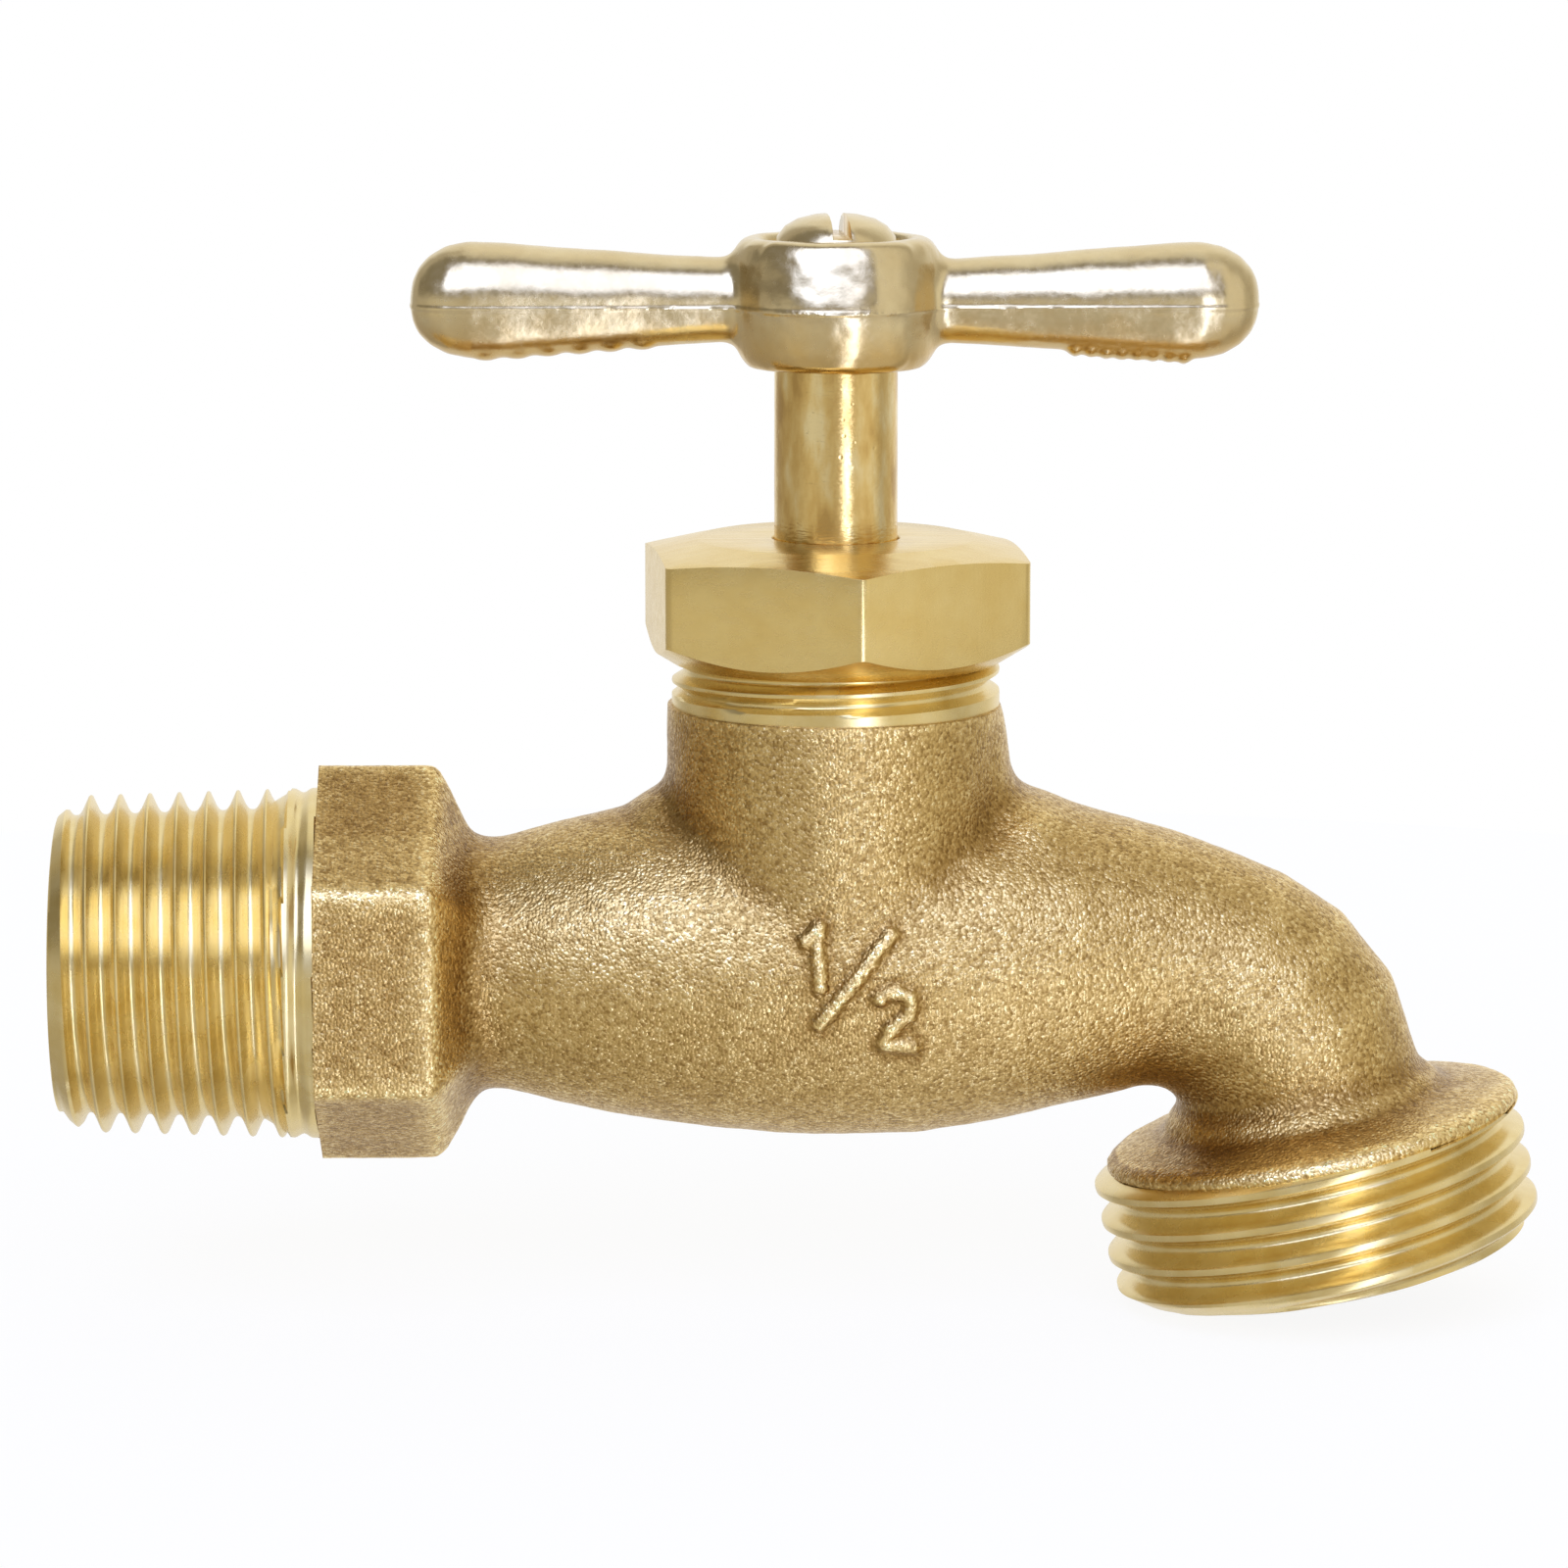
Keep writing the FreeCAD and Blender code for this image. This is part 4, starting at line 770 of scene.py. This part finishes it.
bmesh.ops.create_cube(
    shell, size=1, matrix=to_stem @ Matrix.Translation((0, 0, 39.2)) @ Matrix.Diagonal((5.4, 5.4, 6.4, 1)))
cut(handle, settle(shell, "square_way"))
smooth_by_angle(handle, 40)


def paint_over(tree, share, under, top):
    """One colour laid over another, by a share."""
    return add(tree, "Mix", {0: share, 6: under, 7: top}, data_type="RGBA").outputs[2]


def die_cast(tree):
    """Pale plated skin, softly lumpy, with small scuffs, painted darker gold below the parting line as painted
    shade and painted reflection of the brass beneath.
    """
    dents = grain(tree, 0.4, detail=3)
    height = mix(tree, 0.3, grain(tree, 1.4, detail=2), dents)
    plating = ramp(tree, grain(tree, 2.6, detail=5), [(0.36, (0.70, 0.56, 0.31)), (0.64, (0.77, 0.64, 0.38))])
    # Painted shade and painted reflection of the brass beneath: darker gold below the parting line.
    level = add(tree, "SeparateXYZ", {0: add(tree, "TexCoord").outputs["Object"]}).outputs["Z"]
    level = mix(tree, 0.005, level, grain(tree, 2.2, detail=4))
    painted_lower_shade = add(tree, "MapRange", {0: level, 1: 0.0428, 2: 0.0402}).outputs[0]
    colour = paint_over(tree, painted_lower_shade, plating, (0.66, 0.465, 0.19, 1))
    return colour, ramp(tree, dents, [(0.3, 0.18), (0.7, 0.28)]), (height, 0.00003)


plated = metal("plated_casting", die_cast)
handle.data.materials.clear()
handle.data.materials.append(plated)
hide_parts("handle")
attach(handle, "turning_stem")

# Handle screw. Head and shank are turned in one piece of brass and plated. Its slotted
# oval head is pulled down in the hub's dish, and its slot's walls and floor are browner.
SCREW_SEAT, SCREW_TOP = 43.95, 46.3
SLOT_TURN = radians(5)
shell = bmesh.new()
lathe(shell, [
    (0, 36), (1.9, 36), (1.9, SCREW_SEAT), (3.6, SCREW_SEAT), (3.78, SCREW_SEAT + 0.15),
    (3.78, SCREW_SEAT + 0.5), (3.6, SCREW_SEAT + 1.0), (3.12, SCREW_SEAT + 1.6), (2.4, SCREW_SEAT + 2.02),
    (1.4, SCREW_SEAT + 2.28), (0.6, SCREW_TOP), (0, SCREW_TOP)], to_stem, steps=72)
handle_screw = settle(shell, "handle_screw_head")
shell = bmesh.new()
bmesh.ops.create_cube(
    shell, size=1, matrix=to_stem @ Matrix.Rotation(SLOT_TURN, 4, "Z") @ Matrix.Translation((0, 0, SCREW_TOP))
    @ Matrix.Diagonal((1.1, 9, 2.6, 1)))
cut(handle_screw, settle(shell, "slot"))
round_edges(handle_screw, 0.0001, 2, 35)
smooth_by_angle(handle_screw, 30)
handle_screw.data.materials.clear()
handle_screw.data.materials.append(plated)
handle_screw.data.materials.append(metal("slot_brown", worn_rod))
for side in handle_screw.data.polygons:
    off = side.center.x * 1000 - STEM_AXIS + side.center.y * 1000 * sin(SLOT_TURN)
    if abs(off) < 0.64 and side.center.z > 0.0449 and (abs(side.normal.x) > 0.9 or side.center.z < 0.0451):
        side.material_index = 1
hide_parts("handle_screw")
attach(handle_screw, "turning_stem")

# Stage: a round white sheet below the tap in a bright studio. All that the brass reflects
# is set by direction: a broad soft panel in front above, a tall strip to the right, dark
# overhead and to the left, mid grey in front and white behind.
sheet = bmesh.new()
bmesh.ops.create_circle(
    sheet, cap_ends=True, radius=170, segments=96, matrix=Matrix.Translation((44, 20, -21.6)))
floor = settle(sheet, "sheet")
paper = bpy.data.materials.new("white_sheet")
paper.use_nodes = True
tree = paper.node_tree
tree.nodes.remove(tree.nodes["Principled BSDF"])


def straight_rays(path):
    """One for rays that come straight from the camera, also through glass."""
    return reckon(tree, "MAXIMUM", path.outputs["Is Camera Ray"], path.outputs["Is Transmission Ray"])


path = add(tree, "LightPath")
matt = add(tree, "BsdfDiffuse", {"Color": (0.66, 0.65, 0.62, 1)})
glow = add(tree, "Emission", {"Color": (1.07, 1.07, 1.07, 1), "Strength": 1.0})
clear = add(tree, "BsdfTransparent")
seen = reckon(tree, "MULTIPLY", straight_rays(path), 0.85)
shine = reckon(tree, "MULTIPLY", path.outputs["Is Glossy Ray"], 0.85)
both = add(tree, "MixShader", {0: seen, 1: matt.outputs[0], 2: glow.outputs[0]})
both = add(tree, "MixShader", {0: shine, 1: both.outputs[0], 2: clear.outputs[0]})
tree.links.new(both.outputs[0], tree.nodes["Material Output"].inputs["Surface"])
floor.data.materials.append(paper)

world = bpy.data.worlds.new("studio")
bpy.context.scene.world = world
world.use_nodes = True
tree = world.node_tree
way = add(tree, "SeparateXYZ", {0: add(tree, "TexCoord").outputs["Generated"]}).outputs
front = reckon(tree, "MULTIPLY", way["Y"], -1.0)
azimuth = reckon(tree, "ARCTAN2", way["X"], front)
pitch = reckon(tree, "ARCTAN2", way["Z"], front)
elevation = reckon(tree, "ARCSINE", way["Z"])


def around(tree, angle, stops):
    """Colours or greys along an angle, stops in degrees from -180 to 180."""
    turn = add(tree, "MapRange", {0: angle, 1: -pi, 2: pi}).outputs[0]
    return ramp(tree, turn, [((place + 180) / 360, value) for place, value in stops])


def window(tree, angle, low, high, edge):
    """One inside a range of degrees, zero outside, with soft edges."""
    rise = add(tree, "MapRange", {0: angle, 1: radians(low - edge), 2: radians(low + edge)}).outputs[0]
    fall = add(tree, "MapRange", {0: angle, 1: radians(high + edge), 2: radians(high - edge)}).outputs[0]
    return reckon(tree, "MINIMUM", rise, fall)


walls = around(tree, azimuth, [
    (-180, 1.0), (-155, 0.9), (-140, (0.46, 0.43, 0.38)), (-80, (0.52, 0.49, 0.43)), (-48, (0.7, 0.67, 0.59)),
    (-10, (0.6, 0.57, 0.5)), (9, (0.64, 0.61, 0.54)), (14, (3.4, 3.8, 5.5)), (23, (3.4, 3.8, 5.5)),
    (28, (0.72, 0.69, 0.62)), (50, (0.84, 0.81, 0.74)), (64, (0.86, 0.83, 0.76)), (76, (0.76, 0.73, 0.66)),
    (92, (0.5, 0.47, 0.41)), (112, (0.62, 0.59, 0.52)), (150, 1.0), (180, 1.0)])
ceiling = around(tree, pitch, [
    (-180, 1.0), (-90, 0.5), (50, 0.4), (66, 0.36), (80, 0.38), (92, 0.8), (110, 1.0), (180, 1.0)])
panel = around(tree, azimuth, [(-6, (2.05, 2.4, 3.95)), (6, (1.4, 1.63, 2.65)), (18, (1.95, 2.25, 3.7))])


def patch_of_wall(low, high, bottom, top, edge):
    """A soft-edged oblong of the studio, between two azimuths and two elevations."""
    return reckon(
        tree, "MULTIPLY", window(tree, azimuth, low, high, edge), window(tree, elevation, bottom, top, edge))


low = reckon(tree, "MULTIPLY", window(tree, elevation, -200, -24, 6), 0.1)
walls = paint_over(tree, low, walls, (0.1, 0.06, 0.02, 1))
room = paint_over(tree, window(tree, elevation, 70, 200, 3), walls, ceiling)
room = paint_over(tree, patch_of_wall(-115, 42, 6, 82, 4), room, (0.25, 0.23, 0.19, 1))
room = paint_over(tree, patch_of_wall(-47, 30, 18, 68, 4), room, panel)
seen = straight_rays(add(tree, "LightPath"))
lit = add(tree, "Background", {"Color": room, "Strength": 1.0})
plain = add(tree, "Background", {"Color": (1, 1, 1, 1), "Strength": 1.0})
both = add(tree, "MixShader", {0: seen, 1: lit.outputs[0], 2: plain.outputs[0]})
tree.links.new(both.outputs[0], tree.nodes["World Output"].inputs["Surface"])

# Camera. It stands before the middle of the tap and a little above it, well back, and
# looks slightly down through a long lens.
camera = bpy.data.cameras.new("camera")
camera.lens = 160.17
camera.sensor_width = 36
viewer = bpy.data.objects.new("camera", camera)
aim = Vector((0.044852, 0, 0.011118))
viewer.location = (0.037592, -0.42478, 0.079696)
viewer.rotation_euler = (viewer.location - aim).to_track_quat("Z", "Y").to_euler()
bpy.context.scene.collection.objects.link(viewer)
bpy.context.scene.camera = viewer
bpy.context.scene.view_settings.view_transform = "Standard"
